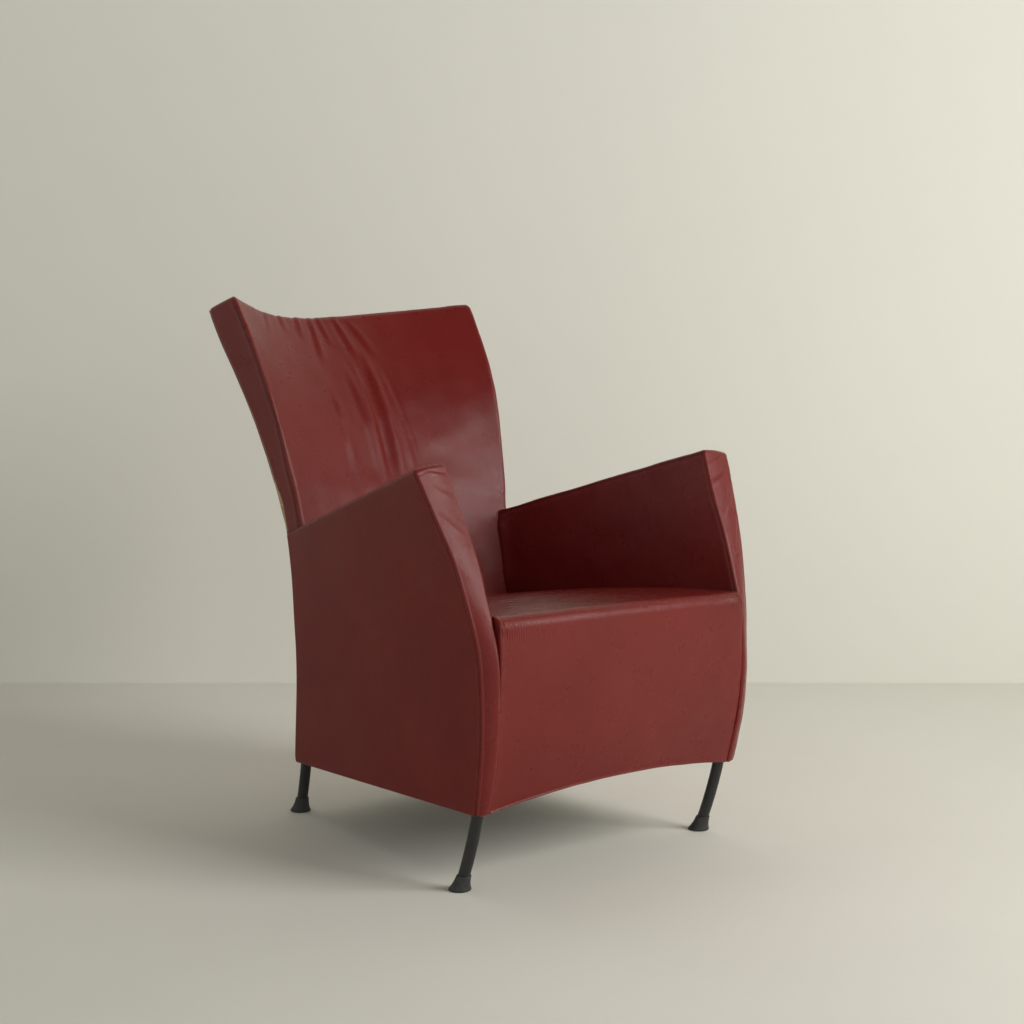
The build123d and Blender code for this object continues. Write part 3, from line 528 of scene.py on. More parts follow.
def arm_rows():
    """Levels of the arm with the inset and the drop of each, rounded over its top and bottom."""
    over, scale = ARM_CORNER, ARM_HEIGHT
    turn = np.linspace(0, math.pi / 2, 8)
    low = steps(1 - 2 * over / scale, 0.0015, 0.0085, 0.016) + over / scale
    rows = [(over / scale * (1 - math.cos(t)), over * (1 - math.sin(t))) for t in turn[:-1]]
    rows += [(level, 0.0) for level in low]
    rows += [(1 - over / scale * (1 - math.sin(t)), over * (1 - math.cos(t))) for t in turn[1:]]
    return rows


def arm_piece(side, name, seed):
    """One arm without its outer panel: closed loops stacked up the arm, each end drawn shut.

    Every point is then moved along its normal: a crown on each face, grooves along the seams, slow
    unevenness, and the folds of the front strip.
    """
    side_b = steps(1.0, 0.0016, 0.0065, 0.0128)
    side_a = np.linspace(0, 1, 15)
    rows = arm_rows()
    levels = [level for level, _ in rows]
    loops = [rounded_loop(side_b, side_a, ARM_CORNER, inset) for _, inset in rows]
    caps = np.linspace(0, 1, 8)[1:]
    loop_low, loop_high = loops[0], loops[-1]
    grid = [arm_place(level, *loop.T) for level, loop in zip(levels, loops)]

    def cap(level, loop, share):
        """A ring of the flat end, drawn towards the middle line."""
        run = 0.62
        b = loop[:, 2] + loop[:, 3] / run
        b = b + ((0.03 + 0.94 * b) - b) * share
        first = arm_place(level, loop[:, 0], loop[:, 1], b, 0 * b)
        middle = arm_place(level, 0 * b + 0.5, 0 * b, b, 0 * b)
        return first + (middle - first) * share

    below = [cap(levels[0], loop_low, share) for share in caps[::-1]]
    above = [cap(levels[-1], loop_high, share) for share in caps]
    grid = np.array(below + grid + above)
    normals = grid_normals(grid)
    if normals[len(grid) // 2, len(side_b) // 2, 0] < 0:
        normals = -normals
    columns = grid.shape[1]
    count_b, count_a, corner = len(side_b), len(side_a), CORNER_POINTS
    index = np.arange(columns)
    front_corner_start = count_b + corner + count_a + corner + count_b
    inner = (index >= count_b + 2 * corner + count_a) & (index < front_corner_start)
    front = index >= front_corner_start
    body = np.zeros(len(grid))
    body[len(caps) : len(caps) + len(rows)] = np.array(levels)
    body[len(caps) + len(rows) :] = 1
    level = body[:, None]
    share_b = np.zeros(columns)
    share_b[inner] = side_b[::-1]
    flat = np.zeros(len(grid))
    flat[len(caps) : len(caps) + len(rows)] = 1
    flat = flat[:, None]

    # Distances to the seams, along the loop and up the arm
    around, total = walked_round(grid)
    inner_seam = around[:, [front_corner_start - 1]]
    d_inner = np.abs(around - inner_seam)
    d_inner = np.minimum(d_inner, total - d_inner)
    rise = walked(grid)
    top_row = len(caps) + len(rows) - 9
    d_rim = np.abs(rise - rise[[top_row]])
    d_top = np.where(inner[None, :], d_rim, 1.0)
    upper = np.arange(len(grid))[:, None] <= top_row
    d_front = np.where(upper, d_inner, 1.0)
    seam = np.minimum(d_front, d_top)

    # Crown of each face, the seams' grooves, slow unevenness and the creases of the front strip
    push = np.zeros(grid.shape[:2])
    bell = 4 * level * (1 - level)
    along = np.sqrt(np.clip(4 * share_b * (1 - share_b), 0, 1))
    push += inner * flat * 0.0022 * along * np.sqrt(np.clip(bell, 0, 1))
    to_back = back_face(grid[..., 2]) - (grid[..., 1] - FOOT_LINE)
    pressed = ease((grid[..., 2] - 0.37) / 0.06) * ease(d_rim / 0.030)
    push += inner * flat * 0.005 * pressed * np.clip(1 - (to_back - 0.004) / 0.032, 0, 1.0) ** 2
    strip = np.zeros(columns)
    strip_start = front_corner_start + corner
    strip[strip_start : strip_start + count_a] = 4 * side_a * (1 - side_a)
    push += flat * strip * 0.0016
    push -= 0.0007 * band(seam, 0, 0.0014)
    push += 0.0004 * band(seam, 0.0055, 0.003)
    push += 0.00045 * ripple(grid, 0.09, seed) * flat
    push += 0.00022 * ripple(grid, 0.035, seed + 1) * flat
    down = ARM_FRONT_LOW + ARM_FRONT_RISE - grid[..., 2]
    over_front = np.where(front, 1.0, 0.0)
    x_share = np.clip((grid[..., 0] - inner_face(0, 0.6) - 0.008) / 0.06, -0.2, 1.2)
    for start, end, width, height, bow in STRIP_FOLDS[seed % 2]:
        push += over_front * fold(1 - x_share, down / 0.06, start, end, width, height, bow)
    away = np.linalg.norm(grid - np.array([0.36, FOOT_LINE + 0.012, 0.688]), axis=2)
    stitches = np.sin(grid[..., 2] * 900 + grid[..., 0] * 300)
    push += over_front * 0.0003 * stitches * band(away, 0, 0.02)
    grid = grid + normals * push[..., None]

    grid = round_rear_corner(grid)
    placed = grid if side > 0 else mirrored(grid)
    quads = grid_quads(*grid.shape[:2], True)
    # The seam value is painted shade along the seams; the edge value places the paler band beside
    # them
    values = {"seam": 0.45 * band(seam, 0, 0.0014), "edge": band(seam, 0.006, 0.004)}
    return new_piece(name, placed, quads, LEATHER, MERGE, values)


# Folds of the front strip near its top, for the right arm and then for the left one: start and end
# as shares across it and down it, then width, height and bow
STRIP_FOLDS = (
    (
        ((0.00, 0.18), (0.95, 0.42), 0.045, 0.0020, 0.03),
        ((0.02, 0.60), (0.90, 1.00), 0.055, 0.0022, 0.06),
        ((0.05, 1.00), (0.80, 2.00), 0.060, 0.0020, 0.10),
        ((0.10, 1.70), (0.72, 3.10), 0.060, 0.0013, 0.10),
    ),
    (
        ((0.00, 0.15), (0.85, 0.30), 0.045, 0.0009, 0.03),
        ((0.02, 0.50), (0.95, 0.95), 0.055, 0.0009, 0.05),
        ((0.05, 1.15), (0.85, 1.90), 0.060, 0.0008, 0.08),
    ),
)


def lipped_panel(grid, normals, thickness, lip):
    """A leather panel: its face stands off a base grid and rolls down to it round its border."""
    rows, columns = grid.shape[:2]
    along, across = walked(grid), walked(grid, 1)
    to_ends = np.minimum(along, along[-1] - along)
    to_sides = np.minimum(across, across[:, -1:] - across)
    border = np.minimum(to_ends, to_sides)
    near = np.clip(1 - border / lip, 0, 1)
    height = thickness * np.sqrt(1 - near**2)
    face = grid + normals * height[..., None]
    quads = grid_quads(rows, columns, False)
    points = np.concatenate([grid.reshape(-1, 3), face.reshape(-1, 3)])
    quads = np.concatenate([quads, quads[:, ::-1] + rows * columns])
    return points, quads, border


def border_values(border):
    """The seam and edge attributes of a lipped panel, for its base and its face alike."""
    # The seam value is painted shade round the panel's border
    seam, edge = band(border, 0, 0.0012), band(border, 0.004, 0.003)
    return {"seam": np.tile(seam.ravel(), 2), "edge": np.tile(edge.ravel(), 2)}


def outer_panel(side, name, seed):
    """The outer leather panel of an arm: a grid on the arm's outer face, crowned, lipped round."""
    inset, front_gap = 0.0012, 0.0030
    share_b = steps(1.0, 0.0010, 0.0080, 0.009)
    levels = steps(1.0, 0.0012, 0.0090, 0.011)
    level, b = np.meshgrid(levels, share_b, indexing="ij")
    top_gap, bottom_gap = 0.0040, -0.0002
    level = bottom_gap + (1 - bottom_gap - top_gap / ARM_HEIGHT) * level
    run = 0.65
    b = (front_gap + (run - front_gap) * b) / run
    base = arm_place(level.ravel(), 0, inset + 0 * level.ravel(), b.ravel(), 0)
    base = round_rear_corner(base.reshape(*level.shape, 3))
    normals = np.cross(np.gradient(base, axis=1), np.gradient(base, axis=0))
    normals /= np.linalg.norm(normals, axis=2, keepdims=True)
    if normals[..., 0].mean() < 0:
        normals = -normals
    bell = np.sqrt(np.clip(16 * level * (1 - level) * b * (1 - b), 0, 1))
    base = base + normals * (0.0018 * bell + 0.0004 * ripple(base, 0.16, seed) * bell)[..., None]
    points, quads, border = lipped_panel(base, normals, ARM_SKIN, 0.0030)
    if side < 0:
        points = mirrored(points)
    values = {**border_values(border), "matte": np.ones(2 * border.size)}
    return new_piece(name, points, quads, LEATHER, MERGE, values)


# The back


def back_place(level, a, da, b, db):
    """Point of the back: A runs from its right to its left edge, B from its front to its rear face.

    Each level is bounded by a hollow arc in front and a crowned arc behind, on a plane that tips
    rearwards towards the top. The top edge dips in the middle.
    """
    x_front = BACK_HALF + BACK_FLARE * spline(BACK_LEVELS, BACK_FLARES, level)
    y_front = BACK_FRONT + BACK_RECLINE * spline(BACK_LEVELS, BACK_RECLINES, level)
    z_front = BACK_LOW + BACK_RISE * level
    edge = BACK_EDGE * spline(BACK_LEVELS, BACK_EDGES, level)
    x_rear = x_front + BACK_SPLAY * spline(BACK_LEVELS, BACK_SPLAYS, level)
    slope = -BACK_DROP * spline(BACK_LEVELS, BACK_DROPS, level) / edge
    hollow = BACK_HOLLOW * spline(BACK_LEVELS, BACK_HOLLOWS, level)
    crown = BACK_CROWN * spline(BACK_LEVELS, BACK_CROWNS, level)
    q = 1 - 2 * a - da / x_front
    front_x, rear_x = q * x_front, q * x_rear
    front_y = y_front + arc_height(x_front, hollow, front_x)
    rear_y = y_front + edge + arc_height(x_rear, crown, rear_x)
    t = b + db / (rear_y - front_y)
    x = front_x + (rear_x - front_x) * t
    y = front_y + (rear_y - front_y) * t
    z = z_front + (y - y_front) * slope
    across = np.clip(q, -1, 1)
    lift = BACK_SAG * np.sin(math.pi * across) - BACK_TILT * across
    return np.stack([x, y + FOOT_LINE, z + lift * ease((level - 0.72) / 0.28)], -1)


def tuck_between_arms(points, depth):
    """Draw the back's lower sides in between the arms, below the arms' sloping top."""
    points = points.copy()
    y = points[..., 1] - FOOT_LINE
    top = ARM_REAR_LOW + ARM_REAR_RISE + 0.281 * (0.573 - y)
    half = inner_face(y, points[..., 2]) + depth
    over = np.maximum(np.abs(points[..., 0]) - half, 0)
    keep = ease((points[..., 2] - top + 0.012) / 0.007)
    points[..., 0] = np.sign(points[..., 0]) * (np.abs(points[..., 0]) - over * (1 - keep))
    return points


def back_piece():
    """The back's cushion with its side and top bands: closed loops stacked up, each end drawn shut.

    Every point is then moved along its normal: grooves along the seams, slow unevenness, the folds
    of the face, and a flat step back behind the outside leather.
    """
    side_a = steps(1.0, 0.0022, 0.0062, 0.016)
    side_b = steps(1.0, 0.018, 0.055, 0.09)
    over, scale = BACK_CORNER, BACK_RISE
    turn = np.linspace(0, math.pi / 2, 8)
    body = steps(1 - BACK_START - over / scale, 0.0014, 0.0052, 0.010) + BACK_START
    rows = [(level, 0.0) for level in body]
    rows += [(1 - over / scale * (1 - math.sin(t)), over * (1 - math.cos(t))) for t in turn[1:]]
    loops = [rounded_loop(side_b, side_a, BACK_CORNER, inset) for _, inset in rows]
    levels = np.array([row[0] for row in rows])
    grid = [back_place(level, *loop.T) for level, loop in zip(levels, loops)]
    shares = np.linspace(0, 1, 10)[1:]

    def cap(level, loop, share):
        """A ring of the flat end, drawn towards the middle line from side to side."""
        a, b = loop[:, 0], loop[:, 2]
        a = a + ((0.06 + 0.88 * a) - a) * share
        first = back_place(level, a, loop[:, 1] * (1 - share), b, loop[:, 3])
        middle = back_place(level, a, loop[:, 1] * (1 - share), 0 * b + 0.5, 0 * b)
        return first + (middle - first) * share

    below = [cap(levels[0], loops[0], share) for share in shares[::-1]]
    above = [cap(levels[-1], loops[-1], share) for share in shares]
    grid = np.array(below + grid + above)
    normals = grid_normals(grid)
    columns = grid.shape[1]
    count_b, count_a, corner = len(side_b), len(side_a), CORNER_POINTS
    index = np.arange(columns)
    front_start = 2 * count_b + count_a + 3 * corner
    front = index >= front_start
    front[-corner:] = False
    if normals[len(grid) // 2, front_start + count_a // 2, 1] > 0:
        normals = -normals
    rear = (index >= count_b + corner) & (index < count_b + corner + count_a)
    flat = np.zeros((len(grid), 1))
    flat[len(shares) : len(shares) + len(rows)] = 1

    around, total = walked_round(grid)
    seam = np.full(grid.shape[:2], 1.0)
    top_row = len(shares) + len(rows) - 8
    sides = np.arange(len(grid))[:, None] <= top_row
    for column in (front_start - corner - 1, front_start + count_a + corner - columns):
        d = np.abs(around - around[:, [column]])
        seam = np.where(sides, np.minimum(seam, np.minimum(d, total - d)), seam)
    rise = walked(grid)
    first_corner = (index >= front_start - corner) & (index < front_start)
    above_front = front | (index >= columns - corner) | first_corner
    to_top = np.abs(rise - rise[[top_row + CORNER_POINTS]])
    seam = np.where(above_front[None, :], np.minimum(seam, to_top), seam)

    push = np.zeros(grid.shape[:2])
    push -= 0.0013 * band(seam, 0, 0.0018)
    push += 0.0004 * band(seam, 0.006, 0.003)
    push += flat * (0.0009 * ripple(grid, 0.15, 3) + 0.0005 * ripple(grid, 0.055, 4))
    x, z = grid[..., 0], grid[..., 2]
    for start, end, width, height, bow in BACK_FOLDS:
        push += front * flat * fold(x, z, start, end, width, height, bow)
    push -= 0.002 * rear * flat
    grid = grid + normals * push[..., None]
    grid = tuck_between_arms(grid, 0.006)
    # The seam value is painted shade along the seams; the edge value places the paler band beside
    # them
    values = {"seam": band(seam, 0, 0.0017), "edge": band(seam, 0.007, 0.005)}
    quads = grid_quads(*grid.shape[:2], True)
    return new_piece("back_cushion", grid, quads, LEATHER, MERGE, values)


# Folds on the back's face: start and end across and up, then width, height and bow, in metres
BACK_FOLDS = (
    ((-0.176, 0.958), (-0.202, 0.905), 0.0065, 0.0016, 0.000),
    ((-0.137, 0.958), (-0.139, 0.905), 0.0065, 0.0018, 0.000),
    ((-0.088, 0.958), (-0.103, 0.890), 0.0065, 0.0020, 0.000),
    ((-0.055, 0.958), (-0.074, 0.840), 0.0075, 0.0026, 0.001),
    ((-0.037, 0.958), (-0.031, 0.880), 0.0060, 0.0016, 0.000),
    ((-0.001, 0.956), (0.020, 0.850), 0.0075, 0.0022, 0.001),
    ((0.028, 0.950), (0.066, 0.855), 0.0075, 0.0016, 0.001),
    ((0.032, 0.890), (0.022, 0.560), 0.0115, 0.0040, 0.003),
    ((0.007, 0.880), (-0.006, 0.550), 0.0080, -0.0026, 0.002),
    ((-0.024, 0.860), (-0.016, 0.600), 0.0110, 0.0024, 0.002),
    ((0.060, 0.860), (0.070, 0.590), 0.0075, -0.0022, 0.002),
    ((-0.082, 0.820), (-0.085, 0.600), 0.0100, 0.0018, 0.002),
)


def outside_back():
    """The outer leather of the back: one lipped panel on a grid over its rear face.

    Its upper corners are lowered by a high power of the distance from the middle.
    """
    low_gap, top_gap, corner_drop = 0.0008, 0.0035, 0.010
    share_a = steps(1.0, 0.0025, 0.011, 0.018)
    levels = steps(1.0, 0.0016, 0.0105, 0.012)
    level, a = np.meshgrid(levels, share_a, indexing="ij")
    level = -low_gap + (1 + low_gap - top_gap - corner_drop * np.abs(1 - 2 * a) ** 12) * level
    side = 0.0016 * (1 - 2 * a)
    base = back_place(level.ravel(), a.ravel(), side.ravel(), 1.0, -0.0024)
    base = base.reshape(*level.shape, 3)
    normals = np.cross(np.gradient(base, axis=1), np.gradient(base, axis=0))
    normals /= np.linalg.norm(normals, axis=2, keepdims=True)
    if normals[..., 1].mean() < 0:
        normals = -normals
    base = base + normals * (0.0006 * ripple(base, 0.2, 8))[..., None]
    points, quads, border = lipped_panel(base, normals, 0.0030, 0.0035)
    return new_piece("outside_back_panel", points, quads, LEATHER, MERGE, border_values(border))


# The seat


def seat_profile():
    """Closed side profile of the seat as (y, z, weight of the crown, weight of the arch)."""
    front, top, nose = -SEAT_FRONT, SEAT_FRONT_TOP, SEAT_NOSE
    fall_levels = (0.0, 0.30, 0.45, 0.62, 0.85, 1.0)
    fall_depths = (0.033, 0.0125, 0.0065, 0.0025, 0.0004, 0.0)
    web_top = WEB_REAR + 0.002
    parts = []

    def add(y, z, crown, arch):
        pieces = np.broadcast_arrays(np.asarray(y, float), z, crown, arch)
        parts.append(np.stack([np.asarray(p, float) for p in pieces], -1))

    t = np.linspace(0, 1, 76)[:-1]
    low = FALL_LOW - BOTTOM_DROP
    z = low + 0.004 + (top - nose - low - 0.004) * t
    add(front + spline(fall_levels, fall_depths, t), z, 1.0, (1 - t) ** 1.6)
    turn = np.linspace(0, math.pi / 2, 12)
    add(front + nose * (1 - np.cos(turn)), top - nose + nose * np.sin(turn), 1.0, 0.0)
    s = steps(1.0, 0.006, 0.0085, 0.02)[1:]
    y = front + nose + (SEAT_REAR + SEAT_FRONT - nose) * s
    z = top + (SEAT_REAR_TOP - top) * s + 4 * SEAT_BULGE * s * (1 - s)
    add(y, z, 1.0, 0.0)
    down = np.linspace(0, 1, 16)[1:]
    add(SEAT_REAR, SEAT_REAR_TOP + (web_top - SEAT_REAR_TOP) * down, 1 - down, 0.0)
    under = np.linspace(0, 1, 50)[1:]
    rear_of_fall = front + 0.046
    y = SEAT_REAR + (rear_of_fall - SEAT_REAR) * under
    z = web_top + (WEB_FRONT - WEB_REAR) * (SEAT_REAR - y) / (SEAT_REAR + SEAT_FRONT)
    add(y, z, 0.0, 0.0)
    t = np.linspace(0, 1, 24)[1:]
    add(rear_of_fall + 0.010 * t, WEB_FRONT + (low + 0.004 - WEB_FRONT) * t, 0.0, t**1.6)
    t = np.linspace(0, 1, 10)[1:-1]
    end = front + 0.027
    bend = 0.004 * np.sin(math.pi * t)
    add(rear_of_fall + 0.010 + (end - rear_of_fall - 0.010) * t, low + 0.004 - bend, t, 1.0)
    return np.concatenate(parts)


def seat_piece():
    """The seat with its front fall: a side profile carried across, crowned, rounded at both sides.

    Every point is then moved along its normal: slow unevenness, puckers under the front edge, slack
    lines on the top, and grooves along both sides.
    """
    profile = seat_profile()
    y0, z0, crown, arch = profile.T
    over, half = SEAT_EDGE, SEAT_HALF
    turn = np.linspace(0, math.pi / 2, 9)
    flat = steps(2 * (half - over), 0.0016, 0.0058, 0.008) - (half - over)
    right = [(half - over * (1 - math.sin(t)), over * (1 - math.cos(t))) for t in turn[1:]]
    left = [(-x, inset) for x, inset in right[::-1]]
    stations = left + [(x, 0.0) for x in flat] + right
    tangent = np.roll(profile[:, :2], -1, 0) - np.roll(profile[:, :2], 1, 0)
    inward = np.stack([tangent[:, 1], -tangent[:, 0]], -1)
    inward /= np.linalg.norm(inward, axis=1, keepdims=True)
    # Points of the profile: one on the fall, where the top starts and where the front ends
    on_fall, top_start, front_end = 40, 80, 86
    inside = profile[:, :2].mean(0) - profile[on_fall, :2]
    if inward[on_fall] @ inside < 0:
        inward = -inward

    def section(x, inset, shrink=0.0):
        """The profile at one place across, moved in by an inset, or drawn towards its middle."""
        q = x / half
        lift = SEAT_CROWN * (0.5 - q**2)
        y = y0 + inward[:, 0] * inset - crown * lift
        raised = (0.5 * lift - SEAT_TILT * q) * np.clip((z0 - 0.3) / 0.14, 0, 1)
        z = z0 + inward[:, 1] * inset + raised * crown
        z = z + arch * FALL_ARCH * (1 - (x / ARCH_SPAN) ** 2)
        in_fall = z0 < WEB_FRONT - 0.004
        deep = -SEAT_FRONT + 0.035
        middle_y = np.where(in_fall, deep, np.clip(y, deep, SEAT_REAR - 0.04))
        middle_z = np.where(in_fall, z, 0.355 - 0.05 * (middle_y + 0.1))
        y = y + (middle_y - y) * shrink
        z = z + (middle_z - z) * shrink
        pressed = 0.0022 * (1 - ease((z - 0.335) / 0.045))
        return np.stack([q * (inner_face(y, z) - 0.0006 + pressed), y + FOOT_LINE, z], -1)

    shares = np.linspace(0, 1, 6)[1:]
    grid = [section(-half, over, share) for share in shares[::-1]]
    grid += [section(x, inset) for x, inset in stations]
    grid += [section(half, over, share) for share in shares]
    grid = np.array(grid)
    normals = grid_normals(grid)
    if normals[len(grid) // 2, on_fall, 1] > 0:
        normals = -normals
    x, y, z = grid[..., 0], grid[..., 1] - FOOT_LINE, grid[..., 2]
    front = (np.arange(len(y0)) < front_end)[None, :]
    top = ((np.arange(len(y0)) >= top_start) & (z0 > 0.37))[None, :]
    body = np.zeros((len(grid), 1))
    body[len(shares) : -len(shares)] = 1
    push = body * (0.0005 * ripple(grid, 0.14, 21) + 0.0002 * ripple(grid, 0.045, 22))
    for sign, weight in ((-1, 1.0), (1, 0.6)):
        corner = np.abs(x - sign * 0.272)
        below = SEAT_FRONT_TOP - 0.012 - z
        waves = np.sin(corner * 2 * math.pi / 0.0105 + 9 * below / 0.05)
        near = np.exp(-corner / 0.030) * band(below, 0.004, 0.016)
        push += body * front * weight * 0.0007 * waves * near
    drawn = np.exp(-np.minimum(np.abs(x + 0.272), 1.6 * np.abs(x - 0.272)) / 0.045)
    pucker = body * front * drawn * band(SEAT_FRONT_TOP - 0.020 - z, 0, 0.014)
    waves = np.sin(x * 2 * math.pi / 0.017 + 2.5 * np.sin(x * 31))
    push += body * front * 0.00018 * waves * band(SEAT_FRONT_TOP - 0.014 - z, 0, 0.012)
    for start, end, width, height, bow in SEAT_FOLDS:
        push += body * top * fold(x, y, start, end, width, height, bow)
    rise = walked(grid)
    seam = np.full(grid.shape[:2], 1.0)
    for seam_row in (len(shares) + 1, len(grid) - len(shares) - 2):
        seam = np.minimum(seam, np.abs(rise - rise[[seam_row]]))
    push -= 0.0004 * band(seam, 0, 0.0015)
    grid = grid + normals * push[..., None]
    # The seam value is painted shade along the side seams; the edge value places the paler band
    # beside them
    values = {"seam": band(seam, 0, 0.0014) * 0.4, "edge": band(seam, 0.007, 0.005)}
    values["pucker"] = pucker
    quads = grid_quads(*grid.shape[:2], True)
    return new_piece("seat_cushion", grid, quads, LEATHER, MERGE, values)


# Slack lines on the seat's top: start and end across and rearwards, then width, height and bow
SEAT_FOLDS = (
    ((-0.20, 0.06), (0.02, 0.12), 0.020, 0.0008, 0.01),
    ((0.18, 0.16), (-0.05, 0.24), 0.022, 0.0007, -0.01),
    ((-0.12, 0.30), (0.14, 0.32), 0.024, 0.0007, 0.01),
)

# Feet: a foot's profile as radius and height
FOOT_PROFILE = (
    (0.0000, 0.0000), (0.0170, 0.0000), (0.0186, 0.0004), (0.0191, 0.0013), (0.0190, 0.0030),
    (0.0182, 0.0042), (0.0172, 0.0062), (0.0160, 0.0090), (0.0149, 0.0125), (0.0139, 0.0165),
    (0.0131, 0.0210), (0.0126, 0.0250), (0.0124, 0.0270), (0.0119, 0.0277), (0.0104, 0.0279),
    (0.0085, 0.0279), (0.0000, 0.0279),
)


def foot_piece(name, x, y, top, lean, bow):
    """A rubber bell foot: a turned profile whose rings follow the leaning leg."""
    profile = np.array(FOOT_PROFILE)
    radius, height = profile[:, 0][:, None], profile[:, 1][:, None]
    turn = np.linspace(0, 2 * math.pi, 65)[:-1][None, :]
    share = height / top
    centre = y - lean * share - 4 * bow * share * (1 - share)
    points = np.stack(
        [x + radius * np.cos(turn), centre + radius * np.sin(turn), height + 0 * turn], -1
    )
    return new_piece(name, points, grid_quads(*points.shape[:2], True), RUBBER, 1e-6)


def dress(piece, slot, *nodes):
    """Let a new piece ride on the chair and stand for its solids."""
    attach(piece, "root")
    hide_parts(*nodes)
    return piece


ARM_NODES = (
    "arm_band_leather", "inner_arm_leather", "outer_arm_pad", "inner_arm_pad", "arm_front_pad",
)
BACK_NODES = (
    "inside_back_leather", "back_foam", "back_top_band",
    "back_side_band_right", "back_side_band_left",
)
for side, word, seed in ((1, "right", 40), (-1, "left", 41)):
    arm = arm_piece(side, f"arm_{word}", seed)
    dress(arm, "leather", *[f"{node}_{word}" for node in ARM_NODES])
    panel = outer_panel(side, f"outer_arm_panel_{word}", seed + 20)
    dress(panel, "leather", f"outer_arm_leather_{word}")
    for end, x, y, top, lean, bow in (
        ("front", 0.279, FOOT_LINE, 0.148, 0.0518, 0.004),
        ("rear", 0.219, FOOT_LINE + 0.576, 0.105, 0.024, 0.002),
    ):
        foot = foot_piece(f"{end}_bell_foot_{word}", side * x, y, top, lean, bow)
        dress(foot, "rubber", f"{end}_foot_{word}")

back = dress(back_piece(), "leather", *BACK_NODES)
dress(outside_back(), "leather", "outside_back_leather")
dress(seat_piece(), "leather", "seat_cover", "seat_foam", "front_fall_pad")

# The dust sheet takes the shape of its solid, and the frame inside gets its finishes by name
finishes = {
    "leg_plate": BLACK, "leg": BLACK, "plate_screws": STEEL, "dust_cover": DUST_CLOTH,
    "webbing": WEBBING,
    "rail": WOOD, "post": WOOD, "panel": WOOD, "board": WOOD, "blocks": WOOD,
}
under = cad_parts["dust_cover"]
dust_sheet = bpy.data.objects.new("dust_sheet", under.data.copy())
dust_sheet.matrix_world = under.matrix_world.copy()
dust_sheet.data.materials.clear()
dust_sheet.data.materials.append(DUST_CLOTH)
bpy.context.scene.collection.objects.link(dust_sheet)
dress(dust_sheet, "dust_cloth", "dust_cover")
carriers = ["corner_blocks", "side_panel_right", "side_panel_left"]
carriers += ["lower_rear_rail", "front_board"]
for node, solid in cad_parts.items():
    for key, material in finishes.items():
        if key in node:
            solid.data.materials.clear()
            solid.data.materials.append(material)
            break

# The room: floor and wall, lamps and camera

CAMERA = Vector((-1.9437, -2.1491 + FOOT_LINE, 0.8809))
YAW, PITCH = math.radians(39.577), math.radians(5.439)
WALL_DISTANCE, WALL_HALF, WALL_HEIGHT, FLOOR_REACH = 4.46, 9, 6, 14.0
LENS, SENSOR = 59.766, 36.0


def room_material(name, colour, mottle, one_sided=False):
    """Matte mottled paint or floor, see-through from behind where it is one-sided."""
    made = Nodes(name)
    tone = made.noise(1.3, 5.0, 0.6)
    dark = tuple(c * (1 - mottle) for c in colour)
    light = tuple(min(1.0, c * (1 + mottle)) for c in colour)
    made.feed("Base Color", made.ramp(tone, (0.3, dark), (0.7, light)))
    made.put(Roughness=0.85, Specular_IOR_Level=0.2)
    if one_sided:
        nodes = made.tree.nodes
        clear = nodes.new("ShaderNodeBsdfTransparent")
        mixer = nodes.new("ShaderNodeMixShader")
        made.link(nodes.new("ShaderNodeNewGeometry").outputs["Backfacing"], mixer.inputs["Fac"])
        made.link(made.shader.outputs["BSDF"], mixer.inputs[1])
        made.link(clear.outputs["BSDF"], mixer.inputs[2])
        made.link(mixer.outputs["Shader"], nodes["Material Output"].inputs["Surface"])
    return made.material


def plane(name, corners, material):
    """A flat piece of the room."""
    mesh = bpy.data.meshes.new(name)
    mesh.from_pydata(corners, [], [(0, 1, 2, 3)])
    mesh.materials.append(material)
    made = bpy.data.objects.new(name, mesh)
    bpy.context.scene.collection.objects.link(made)


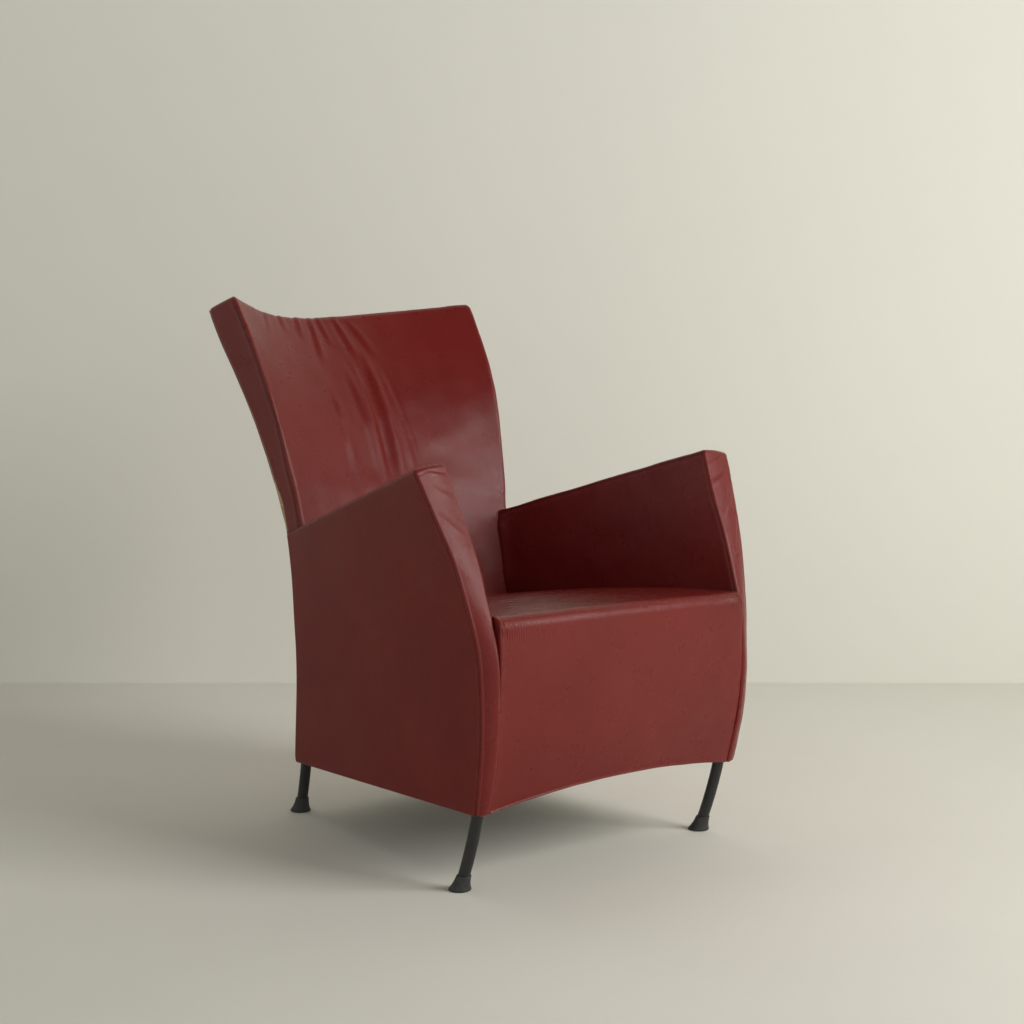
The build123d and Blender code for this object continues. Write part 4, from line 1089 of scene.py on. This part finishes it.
FLOOR = room_material("pale_floor", (0.83, 0.81, 0.74), 0.02)
WALL = room_material("pale_wall", (0.79, 0.78, 0.715), 0.01, True)
forward = Vector((math.sin(YAW), math.cos(YAW), 0))
aside = Vector((math.cos(YAW), -math.sin(YAW), 0))
ground = Vector((CAMERA.x, CAMERA.y, 0))
wall = ground + forward * WALL_DISTANCE
ends = [wall - aside * WALL_HALF, wall + aside * WALL_HALF]
up = Vector((0, 0, WALL_HEIGHT))
plane("wall", [tuple(ends[0]), tuple(ends[1]), tuple(ends[1] + up), tuple(ends[0] + up)], WALL)
reach = FLOOR_REACH
corners = [(-reach, -reach, 0), (reach, -reach, 0), (reach, reach, 0), (-reach, reach, 0)]
plane("floor", corners, FLOOR)


def lamp(name, place, aim, size, power, colour):
    """A rectangular soft lamp at a place, turned to its aim."""
    light = bpy.data.lights.new(name, "AREA")
    light.shape, light.size, light.size_y = "RECTANGLE", *size
    light.energy, light.color = power, colour
    made = bpy.data.objects.new(name, light)
    made.location = place
    made.rotation_euler = (Vector(aim) - Vector(place)).to_track_quat("-Z", "Y").to_euler()
    bpy.context.scene.collection.objects.link(made)


lamp("key", (1.20, -3.20, 2.12), (0.0, 0.1, 0.5), (1.7, 1.7), 82, (1.0, 0.985, 0.95))
lamp("ceiling", (0.2, 1.9, 3.6), (-0.1, 0.3, 0.0), (3.0, 3.0), 20, (1.0, 1.0, 0.97))

# Soft light from all round, weaker towards the zenith
world = bpy.data.worlds.new("room_light")
world.use_nodes = True
sky = world.node_tree
away = sky.nodes.new("ShaderNodeTexCoord")
split = sky.nodes.new("ShaderNodeSeparateXYZ")
dimming = sky.nodes.new("ShaderNodeMapRange")
for key, value in (("From Min", 0.15), ("From Max", 0.80), ("To Min", 1.0), ("To Max", 0.08)):
    dimming.inputs[key].default_value = value
sky.links.new(away.outputs["Generated"], split.inputs["Vector"])
sky.links.new(split.outputs["Z"], dimming.inputs["Value"])
sky.links.new(dimming.outputs["Result"], sky.nodes["Background"].inputs["Strength"])
sky.nodes["Background"].inputs["Color"].default_value = (0.80, 0.80, 0.76, 1)
bpy.context.scene.world = world

camera = bpy.data.objects.new("camera", bpy.data.cameras.new("camera"))
camera.data.lens, camera.data.sensor_width = LENS, SENSOR
camera.data.sensor_fit = "HORIZONTAL"
camera.data.clip_start, camera.data.clip_end = 0.05, 60.0
camera.location = CAMERA
level_part = math.cos(PITCH)
look = Vector((math.sin(YAW) * level_part, math.cos(YAW) * level_part, -math.sin(PITCH)))
camera.rotation_euler = look.to_track_quat("-Z", "Y").to_euler()
bpy.context.scene.collection.objects.link(camera)
bpy.context.scene.camera = camera
bpy.context.scene.view_settings.view_transform = "Standard"
